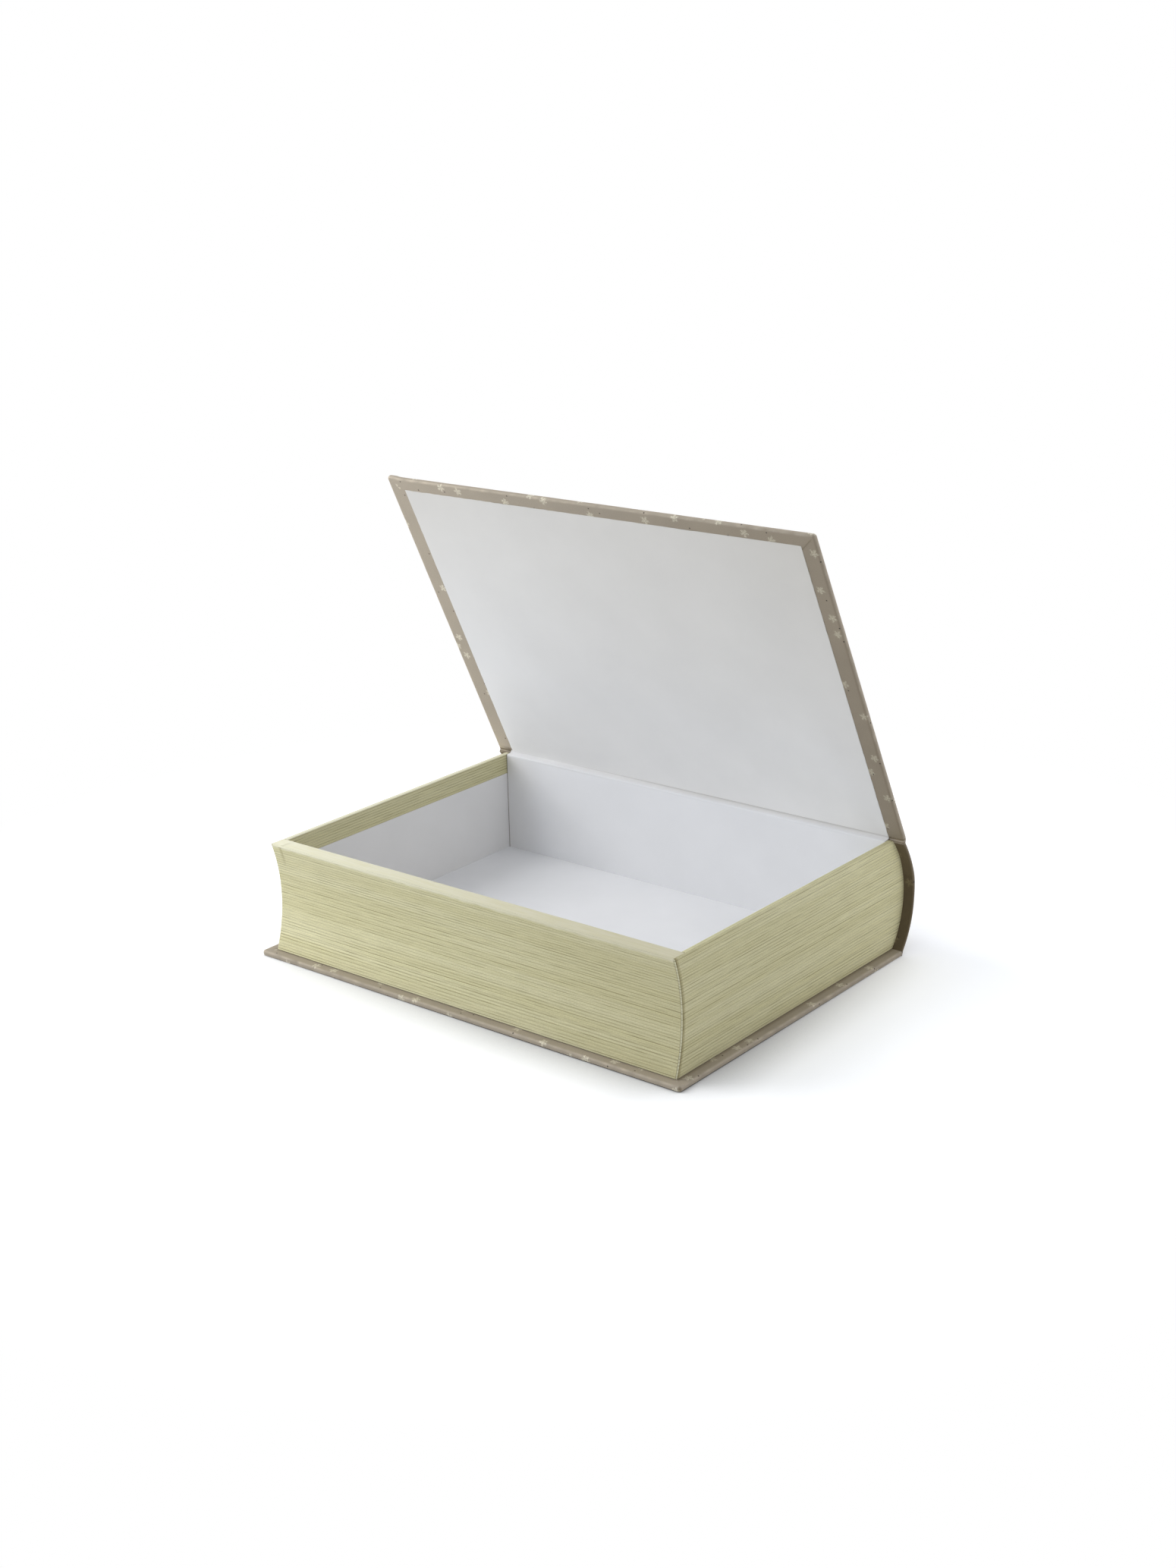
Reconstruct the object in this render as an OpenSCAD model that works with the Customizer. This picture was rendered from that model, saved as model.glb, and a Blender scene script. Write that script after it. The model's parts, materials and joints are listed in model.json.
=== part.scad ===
// Book box for papers and keepsakes: a rigid tray dressed as a block of pages, glued into a
// hinged cover of base, rounded spine and lid. All lengths are millimetres, angles degrees.
// The tray's frame has X along the spine, Y from the fore edge to the spine and Z up from
// the top of the base. The whole is then moved so that the origin is the middle of the
// footprint on the underside, and the lid stands open.

/* [Tray] */
// Length of the tray along the spine
tray_len = 258; // [180:1:340]
// Depth of the tray between its fore-edge corners and its spine corners
tray_depth = 184.5; // [120:0.5:260]
// Height of the tray's rims above the base
tray_h = 58.3; // [40:0.1:100]
// Thickness of the greyboard in the end walls and the back wall
wall_t = 2.55; // [1.5:0.05:4]
// Thickness of the greyboard in the floor
floor_t = 2.2; // [1:0.1:4]

/* [Fore edge] */
// How deep the fore edge is hollowed at mid height
fore_sag = 5.2; // [4:0.1:9]
// Thickness of the bent card that makes the hollow
fore_card_t = 1; // [0.5:0.1:2]
// Least gap between the bent card and the wall behind it
fore_gap = 0.4; // [0.2:0.1:2]
// Thickness of the greyboard wall behind the hollow
fore_wall_t = 2; // [1.5:0.1:4]
// Thickness of the greyboard strip under the flat rim
rim_board_t = 2; // [1:0.1:4]

/* [Spine] */
// How far the spine bulges behind the tray's corners at mid height
spine_sag = 10.9; // [5:0.1:16]
// Thickness of the spine's bent card
spine_card_t = 1; // [0.5:0.1:2]
// How far the spine stops below the rims, to leave the joint free
spine_top_gap = 0.8; // [0.5:0.1:2]

/* [Cover] */
// Thickness of the greyboard in the base and the lid
cover_board_t = 2.2; // [1.8:0.1:4]
// How far the cover stands past the tray at each end
side_overhang = 5.7; // [2:0.1:12]
// How far the base stands past the tray at the fore edge
front_overhang = 5; // [2:0.1:12]
// How far the base stands past the tray's corners at the spine
back_overhang = 0.3; // [0:0.1:1]
// How far the lid, when shut, stands past the base at the fore edge
lid_lead = 0.5; // [0:0.1:3]
// Rounding of the covered boards' long edges
edge_r = 1; // [0.5:0.1:1.1]
// Rounding of the covered boards' corners, seen from above
corner_r = 1.6; // [1:0.1:5]
// Width of the cover paper folded over onto the inner face
turn_in = 15; // [11:0.5:25]

/* [Papers] */
// Thickness of every covering and lining paper
paper_t = 0.2; // [0.1:0.05:0.3]
// Depth of the page-edge band that shows inside the rims
band_h = 11.3; // [6:0.1:20]
// How far the lining papers lap over the page-edge band
band_lap = 4; // [1:0.5:8]
// How far the side papers wrap round onto the fore edge
side_wrap = 8; // [4:0.5:15]
// How far the front paper stops short of the tray's ends
front_inset = 0.8; // [0.4:0.1:2]
// Gap left between the back lining and the page-edge bands at its ends
lining_gap = 0.4; // [0.2:0.1:1]
// Mean margin of cover paper left at each end of the lid's lining
liner_side_margin = 9.6; // [4:0.1:10.5]
// Margin of cover paper left at the fore edge of the lid's lining
liner_fore_margin = 6.8; // [3:0.1:10.5]
// How far off centre the lid's lining was laid
liner_shift = 0.6; // [0:0.1:1]

/* [Hinge] */
// How far the hinge line lies behind the tray's back corners
hinge_back = 1.4; // [1:0.1:3]
// Gap between the lid's lining and the rims when the lid is shut
lid_gap = 0.3; // [0.2:0.1:1]
// Free paper between the hinge line and the lid's board
joint_gap = 1.5; // [1:0.1:3]
// Angle that the lid stands open
lid_open = 64.5; // [0:0.5:150]

/* [Closure] */
// Distance of each magnet from the middle of the fore edge
magnet_x = 58; // [20:1:80]
// Diameter of the magnets in the rim
magnet_d = 6; // [3:0.5:6]
// Diameter of the steel plates in the lid
plate_d = 14; // [8:0.5:18]
// Thickness of the steel plates in the lid
plate_t = 0.5; // [0.3:0.1:1]
// Clearance round each magnet and plate in its pocket
pocket_gap = 0.1; // [0.05:0.05:0.3]

/* [Hidden] */
$fn = 240;

// Colours
greyboard = "#9c9484";
cover_print = "#a59d8e";
page_print = "#c4bd93";
lining_white = "#dedcdc";
magnet_metal = "#b8babd";
plate_metal = "#9a9da1";

// How far cutting shapes reach past what they cut
past = 1;

// The tray's walls, from the outside in
tray_half = tray_len / 2;
end_out = tray_half - paper_t;
end_in = end_out - wall_t;
band_x = end_in - paper_t;
lining_x = band_x - paper_t;
back_out = tray_depth - paper_t;
back_in = back_out - wall_t;
rim_w = fore_sag + 2 * paper_t + fore_card_t + fore_gap + fore_wall_t + paper_t;
fore_in = rim_w - paper_t;
lining_y = rim_w + paper_t;

// The tray's heights, from the top down
board_top = tray_h - paper_t;
rim_under = board_top - rim_board_t;
band_foot = tray_h - band_h;
band_end = band_foot - band_lap;

// The cover
cover_half = tray_half + side_overhang;
cover_stack = cover_board_t + 2 * paper_t;
base_back = tray_depth + back_overhang;
base_depth = front_overhang + base_back;
hinge_y = tray_depth + hinge_back;
hinge_z = tray_h + lid_gap;
lid_reach = hinge_y + front_overhang + lid_lead;
lid_depth = lid_reach - joint_gap;
lid_stack = cover_stack + paper_t;

// Arcs of the hollow fore edge and the round spine, each through the tray's own corners
fore_r = (pow(tray_h / 2, 2) + pow(fore_sag, 2)) / (2 * fore_sag);
fore_y = fore_sag - fore_r;
spine_r = (pow(tray_h / 2, 2) + pow(spine_sag, 2)) / (2 * spine_sag);
spine_y = tray_depth + spine_sag - spine_r;
spine_stack = spine_card_t + 2 * paper_t;
spine_top = tray_h - spine_top_gap;

// Middle of the footprint, measured in the tray's frame
mid_y = (tray_depth + spine_sag + spine_stack - front_overhang) / 2;

// A point on an arc at height z, lying off beyond the tray's own outline
function arc_point(centre_y, radius, off, z) = [
    centre_y + sqrt(pow(radius + off, 2) - pow(z - tray_h / 2, 2)),
    z
];

function fore_point(off, z) = arc_point(fore_y, fore_r, off, z);

function spine_point(off, z) = arc_point(spine_y, spine_r, off, z);

// A point on the open lid: r from the hinge line towards the fore edge, n out of its lining
function lid_point(r, n) = [
    hinge_y - r * cos(lid_open) + n * sin(lid_open),
    hinge_z + r * sin(lid_open) + n * cos(lid_open)
];

// The magnets sit in the middle of the rim board's narrower underside
magnet_y = (fore_point(2 * paper_t, rim_under)[0] + fore_in) / 2;

// Places

module in_tray() {
    translate([0, -mid_y, cover_stack])
        children();
}

// Here the hinge line is the X axis and the shut lid lies towards -Y, its lining at z = 0
module in_lid() {
    in_tray()
        translate([0, hinge_y, hinge_z])
            rotate([-lid_open, 0, 0])
                children();
}

// The base's own frame has its plain edge at y = 0 and its inner face at z = 0, facing up
module in_base() {
    in_tray()
        translate([0, base_back, 0])
            mirror([0, 0, 1])
                children();
}

// Drawing helpers: outlines are drawn in Y and Z, and run along X

module along_x(length) {
    rotate([90, 0, 90])
        linear_extrude(length, center = true)
            children();
}

// Between two distances from the middle, on the side that is 1 or -1
module at_end(side, from, to) {
    translate([side * (from + to) / 2, 0, 0])
        along_x(to - from)
            children();
}

module block(from, to) {
    translate(from)
        cube(to - from);
}

module panel(from, to) {
    translate(from)
        square(to - from);
}

module fore_disc(off) {
    translate([fore_y, tray_h / 2])
        circle(r = fore_r + off);
}

module spine_disc(off) {
    translate([spine_y, tray_h / 2])
        circle(r = spine_r + off);
}

// A layer of the hollow fore edge, from one depth behind its surface to another
module fore_layer(near, far, top) {
    intersection() {
        difference() {
            fore_disc(far);
            fore_disc(near);
        }
        panel([0, 0], [rim_w, top]);
    }
}

// A layer of the round spine, from one distance outside the tray to another
module spine_layer(near, far) {
    intersection() {
        difference() {
            spine_disc(far);
            spine_disc(near);
        }
        panel([tray_depth - past, 0], [tray_depth + spine_sag + spine_stack + past, spine_top]);
    }
}

// Side view of the block of pages up to a height, hollow in front and round behind
module block_outline(fore_off, top) {
    difference() {
        intersection() {
            panel([0, 0], [tray_depth + spine_sag + past, top]);
            union() {
                panel([0, 0], [tray_depth, tray_h]);
                spine_disc(0);
            }
        }
        fore_disc(fore_off);
    }
}

// The rim's top paper in side view, cut by the hollow fore edge
module rim_outline(from, fore_off, bottom, top) {
    difference() {
        panel([from, bottom], [rim_w, top]);
        fore_disc(fore_off);
    }
}

// Rounded outline of a board's section, plain at its high end
module rounded_section(low, high, thick, rounding) {
    panel([low + rounding, 0], [high, thick]);
    panel([low, rounding], [high, thick - rounding]);
    for (z = [rounding, thick - rounding])
        translate([low + rounding, z])
            circle(rounding);
}

// A board lying towards -Y with round edges on three sides and a plain cut at y = 0
module slab(half_len, depth, thick, rounding, corner) {
    intersection() {
        along_x(2 * half_len)
            rounded_section(-depth, 0, thick, rounding);
        rotate([90, 0, 0])
            linear_extrude(depth)
                for (flip = [0, 1])
                    mirror([flip, 0])
                        rounded_section(-half_len, past, thick, rounding);
        linear_extrude(thick)
            union() {
                panel([-half_len + corner, -depth], [half_len - corner, 0]);
                panel([-half_len, -depth + corner], [half_len, 0]);
                for (x = [-half_len + corner, half_len - corner])
                    translate([x, -depth + corner])
                        circle(corner);
            }
    }
}

// The board inside a cover of that depth, with its inner face down
module cover_board(depth) {
    translate([0, 0, paper_t])
        slab(cover_half - paper_t, depth - paper_t, cover_board_t, edge_r - paper_t, corner_r - paper_t);
}

// The paper round that board: outer face, three edges and the folded-over margins
module cover_wrap(depth) {
    difference() {
        slab(cover_half, depth, cover_stack, edge_r, corner_r);
        cover_board(depth);
        block([-cover_half + turn_in, -depth + turn_in, -past], [cover_half - turn_in, past, 2 * paper_t]);
    }
}

// A disc at one of the two closures along the fore edge
module closure_disc(side, diameter, y, from, to) {
    translate([side * magnet_x, y, from])
        cylinder(d = diameter, h = to - from);
}

// Cover, lower half

module base_board() {
    color(greyboard)
        in_base()
            cover_board(base_depth);
}

module base_cover_paper() {
    color(cover_print)
        in_base()
            cover_wrap(base_depth);
}

module spine_card() {
    color(greyboard)
        in_tray()
            along_x(2 * (cover_half - paper_t))
                spine_layer(paper_t, paper_t + spine_card_t);
}

// Outer sheet, wrapped round both ends of the card and folded over inside
module spine_cover_paper() {
    color(cover_print)
        in_tray()
            union() {
                along_x(2 * cover_half)
                    spine_layer(paper_t + spine_card_t, spine_stack);
                for (side = [-1, 1]) {
                    at_end(side, cover_half - paper_t, cover_half)
                        spine_layer(0, spine_stack);
                    at_end(side, cover_half - turn_in, cover_half)
                        spine_layer(0, paper_t);
                }
            }
}

// From the foot of the spine to the underside of the base, closed at both ends
module lower_joint_paper() {
    outer_foot = spine_point(spine_stack, 0);
    color(cover_print)
        in_tray()
            union() {
                along_x(2 * cover_half)
                    polygon([
                        spine_point(spine_stack - paper_t, 0),
                        outer_foot,
                        [base_back, -cover_stack],
                        [base_back, -cover_stack + paper_t]
                    ]);
                for (side = [-1, 1])
                    at_end(side, cover_half - paper_t, cover_half)
                        polygon([[base_back, 0], outer_foot, [base_back, -cover_stack]]);
            }
}

// From the head of the spine to the lid, bending as the lid swings. At both ends the paper
// is folded over, as it is on the spine and the lid, and closes the joint.
module upper_joint_paper() {
    outer_head = spine_point(spine_stack, spine_top);
    inner_head = spine_point(0, spine_top);
    color(cover_print)
        in_tray()
            union() {
                along_x(2 * cover_half)
                    polygon([
                        spine_point(spine_stack - paper_t, spine_top),
                        outer_head,
                        lid_point(joint_gap, lid_stack),
                        lid_point(joint_gap, lid_stack - paper_t)
                    ]);
                for (side = [-1, 1]) {
                    at_end(side, cover_half - turn_in, cover_half)
                        polygon([
                            inner_head,
                            spine_point(paper_t, spine_top),
                            lid_point(joint_gap, 2 * paper_t),
                            lid_point(joint_gap, paper_t)
                        ]);
                    at_end(side, cover_half - paper_t, cover_half)
                        polygon([
                            inner_head,
                            outer_head,
                            lid_point(joint_gap, lid_stack),
                            lid_point(joint_gap, paper_t)
                        ]);
                }
            }
}

// Boards of the tray

module floor_board() {
    color(greyboard)
        in_tray()
            block([-end_in, fore_in, 0], [end_in, back_in, floor_t]);
}

module end_board(side) {
    color(greyboard)
        in_tray()
            at_end(side, end_in, end_out)
                block_outline(2 * paper_t, board_top);
}

module left_end_board() {
    end_board(-1);
}

module right_end_board() {
    end_board(1);
}

module back_wall_board() {
    color(greyboard)
        in_tray()
            block([-end_in, back_in, 0], [end_in, back_out, board_top]);
}

module fore_edge_wall_board() {
    color(greyboard)
        in_tray()
            block([-end_in, fore_in - fore_wall_t, 0], [end_in, fore_in, rim_under]);
}

module fore_edge_hollow_card() {
    color(greyboard)
        in_tray()
            along_x(2 * end_in)
                fore_layer(2 * paper_t, 2 * paper_t + fore_card_t, rim_under);
}

// Strip under the flat rim, drilled for the magnets
module fore_edge_rim_board() {
    color(greyboard)
        in_tray()
            difference() {
                along_x(2 * end_in)
                    difference() {
                        panel([0, rim_under], [fore_in, board_top]);
                        fore_disc(2 * paper_t);
                    }
                for (side = [-1, 1])
                    closure_disc(side, magnet_d + 2 * pocket_gap, magnet_y, rim_under - past, board_top + past);
            }
}

// Papers printed to look like the edges of pages

// Outside the end board, over its top, as a band inside, and round onto the fore edge
module side_paper(side) {
    color(page_print)
        in_tray()
            union() {
                at_end(side, end_out, tray_half)
                    block_outline(paper_t, tray_h);
                at_end(side, end_in, tray_half)
                    panel([rim_w, board_top], [tray_depth, tray_h]);
                at_end(side, band_x, tray_half)
                    panel([rim_w, board_top], [back_in, tray_h]);
                at_end(side, band_x, end_in)
                    panel([rim_w, band_end], [back_in, tray_h]);
                at_end(side, tray_half - front_inset, tray_half)
                    rim_outline(0, paper_t, board_top, tray_h);
                at_end(side, tray_half - side_wrap, tray_half)
                    fore_layer(paper_t, 2 * paper_t, board_top);
            }
}

module left_page_edge_paper() {
    side_paper(-1);
}

module right_page_edge_paper() {
    side_paper(1);
}

// Over the hollow front, across the rim and down inside
module front_page_edge_paper() {
    color(page_print)
        in_tray()
            union() {
                along_x(2 * (tray_half - front_inset))
                    fore_layer(0, paper_t, tray_h);
                along_x(2 * (tray_half - side_wrap))
                    fore_layer(0, 2 * paper_t, board_top);
                along_x(2 * (tray_half - front_inset))
                    rim_outline(0, 0, board_top, tray_h);
                along_x(2 * end_in)
                    panel([fore_in, band_end], [rim_w, tray_h]);
            }
}

// White papers inside the tray

module floor_lining() {
    color(lining_white)
        in_tray()
            block([-lining_x, lining_y, floor_t], [lining_x, back_in - paper_t, floor_t + paper_t]);
}

// Against the end board, then over the foot of the page-edge band
module side_lining(side) {
    color(lining_white)
        in_tray()
            union() {
                at_end(side, lining_x, end_in)
                    panel([rim_w, floor_t], [back_in - paper_t, band_end]);
                at_end(side, lining_x, band_x)
                    panel([rim_w, floor_t], [back_in - paper_t, band_foot]);
            }
}

module left_lining() {
    side_lining(-1);
}

module right_lining() {
    side_lining(1);
}

module front_lining() {
    color(lining_white)
        in_tray()
            union() {
                block([-end_in, fore_in, floor_t], [end_in, rim_w, band_end]);
                block([-lining_x, fore_in, floor_t], [lining_x, lining_y, band_end]);
                block([-lining_x, rim_w, floor_t], [lining_x, lining_y, band_foot]);
            }
}

module back_lining() {
    color(lining_white)
        in_tray()
            block([-lining_x + lining_gap, back_in - paper_t, floor_t], [lining_x - lining_gap, back_in, tray_h]);
}

// Over the back wall and up to the lid, bending as the lid swings
module hinge_lining() {
    color(lining_white)
        in_tray()
            along_x(2 * (lining_x - lining_gap))
                polygon([
                    [back_in, board_top],
                    [back_in, tray_h],
                    [tray_depth, tray_h],
                    lid_point(joint_gap, 0),
                    lid_point(joint_gap, paper_t),
                    [tray_depth + paper_t, board_top]
                ]);
}

// Magnets in the rim

module rim_magnet(side) {
    color(magnet_metal)
        in_tray()
            closure_disc(side, magnet_d, magnet_y, rim_under, board_top);
}

module left_rim_magnet() {
    rim_magnet(-1);
}

module right_rim_magnet() {
    rim_magnet(1);
}

// Lid

// The board is recessed for the steel plates on its inner face
module lid_board() {
    color(greyboard)
        in_lid()
            difference() {
                translate([0, -joint_gap, paper_t])
                    cover_board(lid_depth);
                for (side = [-1, 1])
                    closure_disc(side, plate_d + 2 * pocket_gap, magnet_y - hinge_y, 0, 2 * paper_t + plate_t);
            }
}

module lid_cover_paper() {
    color(cover_print)
        in_lid()
            translate([0, -joint_gap, paper_t])
                cover_wrap(lid_depth);
}

// Laps over the folded-in margins and fills the window between them
module lid_lining() {
    liner_half = cover_half - liner_side_margin;
    window_half = cover_half - turn_in;
    color(lining_white)
        in_lid()
            union() {
                block(
                    [-liner_half + liner_shift, -lid_reach + liner_fore_margin, 0],
                    [liner_half + liner_shift, -joint_gap, paper_t]
                );
                block([-window_half, -lid_reach + turn_in, 0], [window_half, -joint_gap, 2 * paper_t]);
            }
}

// When the lid is shut, each plate lies over the magnet on its side
module lid_plate(side) {
    color(plate_metal)
        in_lid()
            closure_disc(side, plate_d, magnet_y - hinge_y, 2 * paper_t, 2 * paper_t + plate_t);
}

module left_lid_plate() {
    lid_plate(-1);
}

module right_lid_plate() {
    lid_plate(1);
}

base_board();
base_cover_paper();
spine_card();
spine_cover_paper();
lower_joint_paper();
upper_joint_paper();
floor_board();
left_end_board();
right_end_board();
back_wall_board();
fore_edge_wall_board();
fore_edge_hollow_card();
fore_edge_rim_board();
left_page_edge_paper();
right_page_edge_paper();
front_page_edge_paper();
floor_lining();
left_lining();
right_lining();
back_lining();
front_lining();
hinge_lining();
left_rim_magnet();
right_rim_magnet();
lid_board();
lid_cover_paper();
lid_lining();
left_lid_plate();
right_lid_plate();
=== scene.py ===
"""A book box: a tray dressed as a block of pages, with its cover, its lid and a hidden closure."""

import json
import math

import bmesh
import bpy
import numpy as np
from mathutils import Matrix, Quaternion, Vector, noise


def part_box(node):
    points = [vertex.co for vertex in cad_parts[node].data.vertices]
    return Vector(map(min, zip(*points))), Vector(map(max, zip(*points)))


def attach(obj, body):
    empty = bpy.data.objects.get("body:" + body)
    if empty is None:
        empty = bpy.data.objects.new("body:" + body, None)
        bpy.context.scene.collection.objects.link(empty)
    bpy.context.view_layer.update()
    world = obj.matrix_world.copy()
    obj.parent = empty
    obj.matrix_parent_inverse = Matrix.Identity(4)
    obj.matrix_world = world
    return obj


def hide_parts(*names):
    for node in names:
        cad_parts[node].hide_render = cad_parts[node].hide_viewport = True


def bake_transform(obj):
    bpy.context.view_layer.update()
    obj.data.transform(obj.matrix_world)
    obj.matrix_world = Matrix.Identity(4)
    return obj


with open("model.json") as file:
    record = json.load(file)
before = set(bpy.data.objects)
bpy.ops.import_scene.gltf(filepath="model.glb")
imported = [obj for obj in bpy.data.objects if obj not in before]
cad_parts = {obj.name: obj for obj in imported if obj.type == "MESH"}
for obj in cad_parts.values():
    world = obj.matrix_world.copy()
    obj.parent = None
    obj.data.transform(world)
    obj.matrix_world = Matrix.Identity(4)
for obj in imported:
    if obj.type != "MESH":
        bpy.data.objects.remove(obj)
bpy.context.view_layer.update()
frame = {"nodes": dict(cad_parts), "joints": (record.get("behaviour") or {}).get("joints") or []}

bl_info = {
    "name": "Book box",
    "version": (1, 0, 0),
    "blender": (4, 5, 0),
    "location": "3D View > Sidebar > Book box",
    "description": "Dresses the boards of a book box in printed paper, page-edge paper and white lining",
    "category": "Object",
}

MM = 0.001

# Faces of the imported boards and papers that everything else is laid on
SIDE_LOW, SIDE_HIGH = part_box("right_page_edge_paper")
FRONT_LOW, FRONT_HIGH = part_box("front_page_edge_paper")
BASE_LOW, BASE_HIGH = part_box("base_cover_paper")
SPINE_LOW, SPINE_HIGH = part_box("spine_cover_paper")
END_LOW, END_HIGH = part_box("right_end_board")
BACK_LOW, BACK_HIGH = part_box("back_wall_board")
FLOOR_LOW, FLOOR_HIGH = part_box("floor_lining")
LINING_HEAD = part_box("right_lining")[1].z
HINGE_LINE = Vector(frame["joints"][0]["pos_m"])
LID_OPEN = math.radians(-frame["joints"][0]["range_deg"][0])

# The tray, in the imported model's frame
HALF = SIDE_HIGH.x
FOOT = SIDE_LOW.z
TOP = SIDE_HIGH.z
MIDDLE = (FOOT + TOP) / 2
FORE = FRONT_LOW.y
RIM_BACK = FRONT_HIGH.y

# Foot of the band of page-edge paper inside the tray
BAND_FOOT = FOOT + 43 * MM

# The cover. The lid's fore edge stands half a millimetre past the base's, as the photo shows
COVER_HALF = BASE_HIGH.x
COVER_THICK = BASE_HIGH.z
LID_REACH = HINGE_LINE.y - BASE_LOW.y + 0.5 * MM
SPINE_THICK = SPINE_HIGH.y - END_HIGH.y
SPINE_CREASE = 40 * MM

# How far the hinge's lining reaches down the back wall, where the back lining ends
HINGE_PAPER_LAP = 1.2 * MM

# How far inside a cover's edge the net of its folds ends and its plain net begins
FACE_INSET = 3 * MM

# Reach of a sheet past a round edge before its plain spacing starts again
SUPPORT = 0.4 * MM


def linear(hex_colour):
    """The scene's own linear colour for an sRGB hex value."""
    channels = [int(hex_colour[i:i + 2], 16) / 255 for i in (1, 3, 5)]
    curved = [c / 12.92 if c <= 0.04045 else ((c + 0.055) / 1.055) ** 2.4 for c in channels]
    return (*curved, 1.0)


def length_setting(name, description, default):
    """A length that a user may change."""
    return bpy.props.FloatProperty(
        name=name, description=description, default=default, unit="LENGTH", precision=5)


def colour_setting(name, description, hex_colour):
    """A colour that a user may change."""
    return bpy.props.FloatVectorProperty(
        name=name, description=description, default=linear(hex_colour), size=4, min=0, max=1,
        subtype="COLOR")


class BookBoxSizes(bpy.types.PropertyGroup):
    """Sizes of the papers, as a bookbinder would give them"""

    paper: length_setting(
        "Paper", "Thickness of every paper", HALF - END_HIGH.x)
    turn_in: length_setting(
        "Turn-in", "Width of the cover paper's margin on the inner faces", 15 * MM)
    edge_round: length_setting(
        "Edge rounding", "Radius of the papered edges of the cover boards", 1.0 * MM)
    corner_round: length_setting(
        "Corner rounding", "Radius of the cover's corners in plan", 1.6 * MM)
    rim_round: length_setting(
        "Rim rounding", "Radius of the fold where a page-edge paper goes over the rim", 0.6 * MM)
    fore_round: length_setting(
        "Fore rounding", "Radius of the same fold along the fore edge", 0.8 * MM)
    fore_sag: length_setting(
        "Fore-edge hollow", "Depth of the hollow in the fore edge", 5.2 * MM)
    side_wrap: length_setting(
        "Side wrap", "Width of the side papers' leaf on the fore edge", 8 * MM)
    front_inset: length_setting(
        "Front inset", "How far the front paper stops short of the corners", 0.8 * MM)
    lining_gap: length_setting(
        "Lining gap", "Gap between the back lining and the side linings", 0.4 * MM)
    joint_gap: length_setting(
        "Joint gap", "Distance from the hinge line to the lid board's rear edge", 1.5 * MM)
    foot_gap: length_setting(
        "Foot gap", "How far the page-edge papers stop short of the base", 0.4 * MM)
    spacing: length_setting(
        "Net", "Widest spacing of the points that a tray's paper is drawn with", 4 * MM)
    net: length_setting(
        "Cover net", "Widest spacing of the points that a cover paper is drawn with", 2.5 * MM)


class BookBoxColours(bpy.types.PropertyGroup):
    """Colours of the papers and boards"""

    cover: colour_setting("Cover", "Ground of the printed cover paper", "#a09584")
    sprig: colour_setting("Sprig", "Small sprigs printed on the cover paper", "#d2cbb6")
    pin_dot: colour_setting("Pin dot", "Dark pin dots between the sprigs", "#4e463c")
    page: colour_setting("Page edge", "Ground of the page-edge print", "#cfc99e")
    page_light: colour_setting("Page edge, pale", "Paler bands of the page-edge print", "#dcd7b2")
    page_line: colour_setting("Page line", "Thin printed lines between the pages", "#7d734b")
    rim: colour_setting("Rim", "Unruled part of the page-edge paper, over the rim", "#e3dfc6")
    # One white paper in two colours: the lid's is a little warmer and less blue as painted light, the tray's
    # inside lying in bluer shade
    lining: colour_setting("Tray lining", "White paper on the tray's floor and walls", "#ebebec")
    lid_lining: colour_setting("Lid lining", "White paper inside the lid", "#eae9e7")
    cut_edge: colour_setting("Cut edge", "Cut edge and back of a paper", "#d8d4c8")
    board: colour_setting("Board", "Greyboard", "#9c9484")


# Places


def arc_y(corner, sag, beyond, z):
    """How far back an upright arc lies at height z, if it bows backwards by sag between its corners."""
    half_height = (TOP - FOOT) / 2
    radius = (half_height ** 2 + sag ** 2) / (2 * sag)
    return corner + sag - radius + math.sqrt((radius + beyond) ** 2 - (z - MIDDLE) ** 2)


def fore_y(sizes, beyond, z):
    """The hollow fore edge."""
    return arc_y(FORE, sizes.fore_sag, beyond, z)


def spine_y(sizes, beyond, z):
    """The round back, and the spine that lies on it."""
    corner = BACK_HIGH.y + sizes.paper
    return arc_y(corner, END_HIGH.y - corner, beyond, z)


def lid_place(x, r, n):
    """A place on the open lid: r from the hinge line towards the fore edge, n out from its lining."""
    return (
        x,
        HINGE_LINE.y - r * math.cos(LID_OPEN) + n * math.sin(LID_OPEN),
        HINGE_LINE.z + r * math.sin(LID_OPEN) + n * math.cos(LID_OPEN),
    )


def base_place(x, r, n):
    """A place on the base: r from its plain rear edge towards the front, n down from its inner face."""
    return (x, BASE_HIGH.y - r, COVER_THICK - n)


def ramp(value, start, end):
    """0 before start, 1 beyond end, and even between them."""
    return min(max((value - start) / (end - start), 0), 1)


def near_to(distance, reach):
    """1 at a place, fading evenly to 0 at its reach."""
    return max(0.0, 1 - abs(distance) / reach)


def spread(start, end, spacing):
    """Evenly spaced values from start to end."""
    return np.linspace(start, end, max(1, math.ceil(abs(end - start) / spacing - 1e-6)) + 1)


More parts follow.
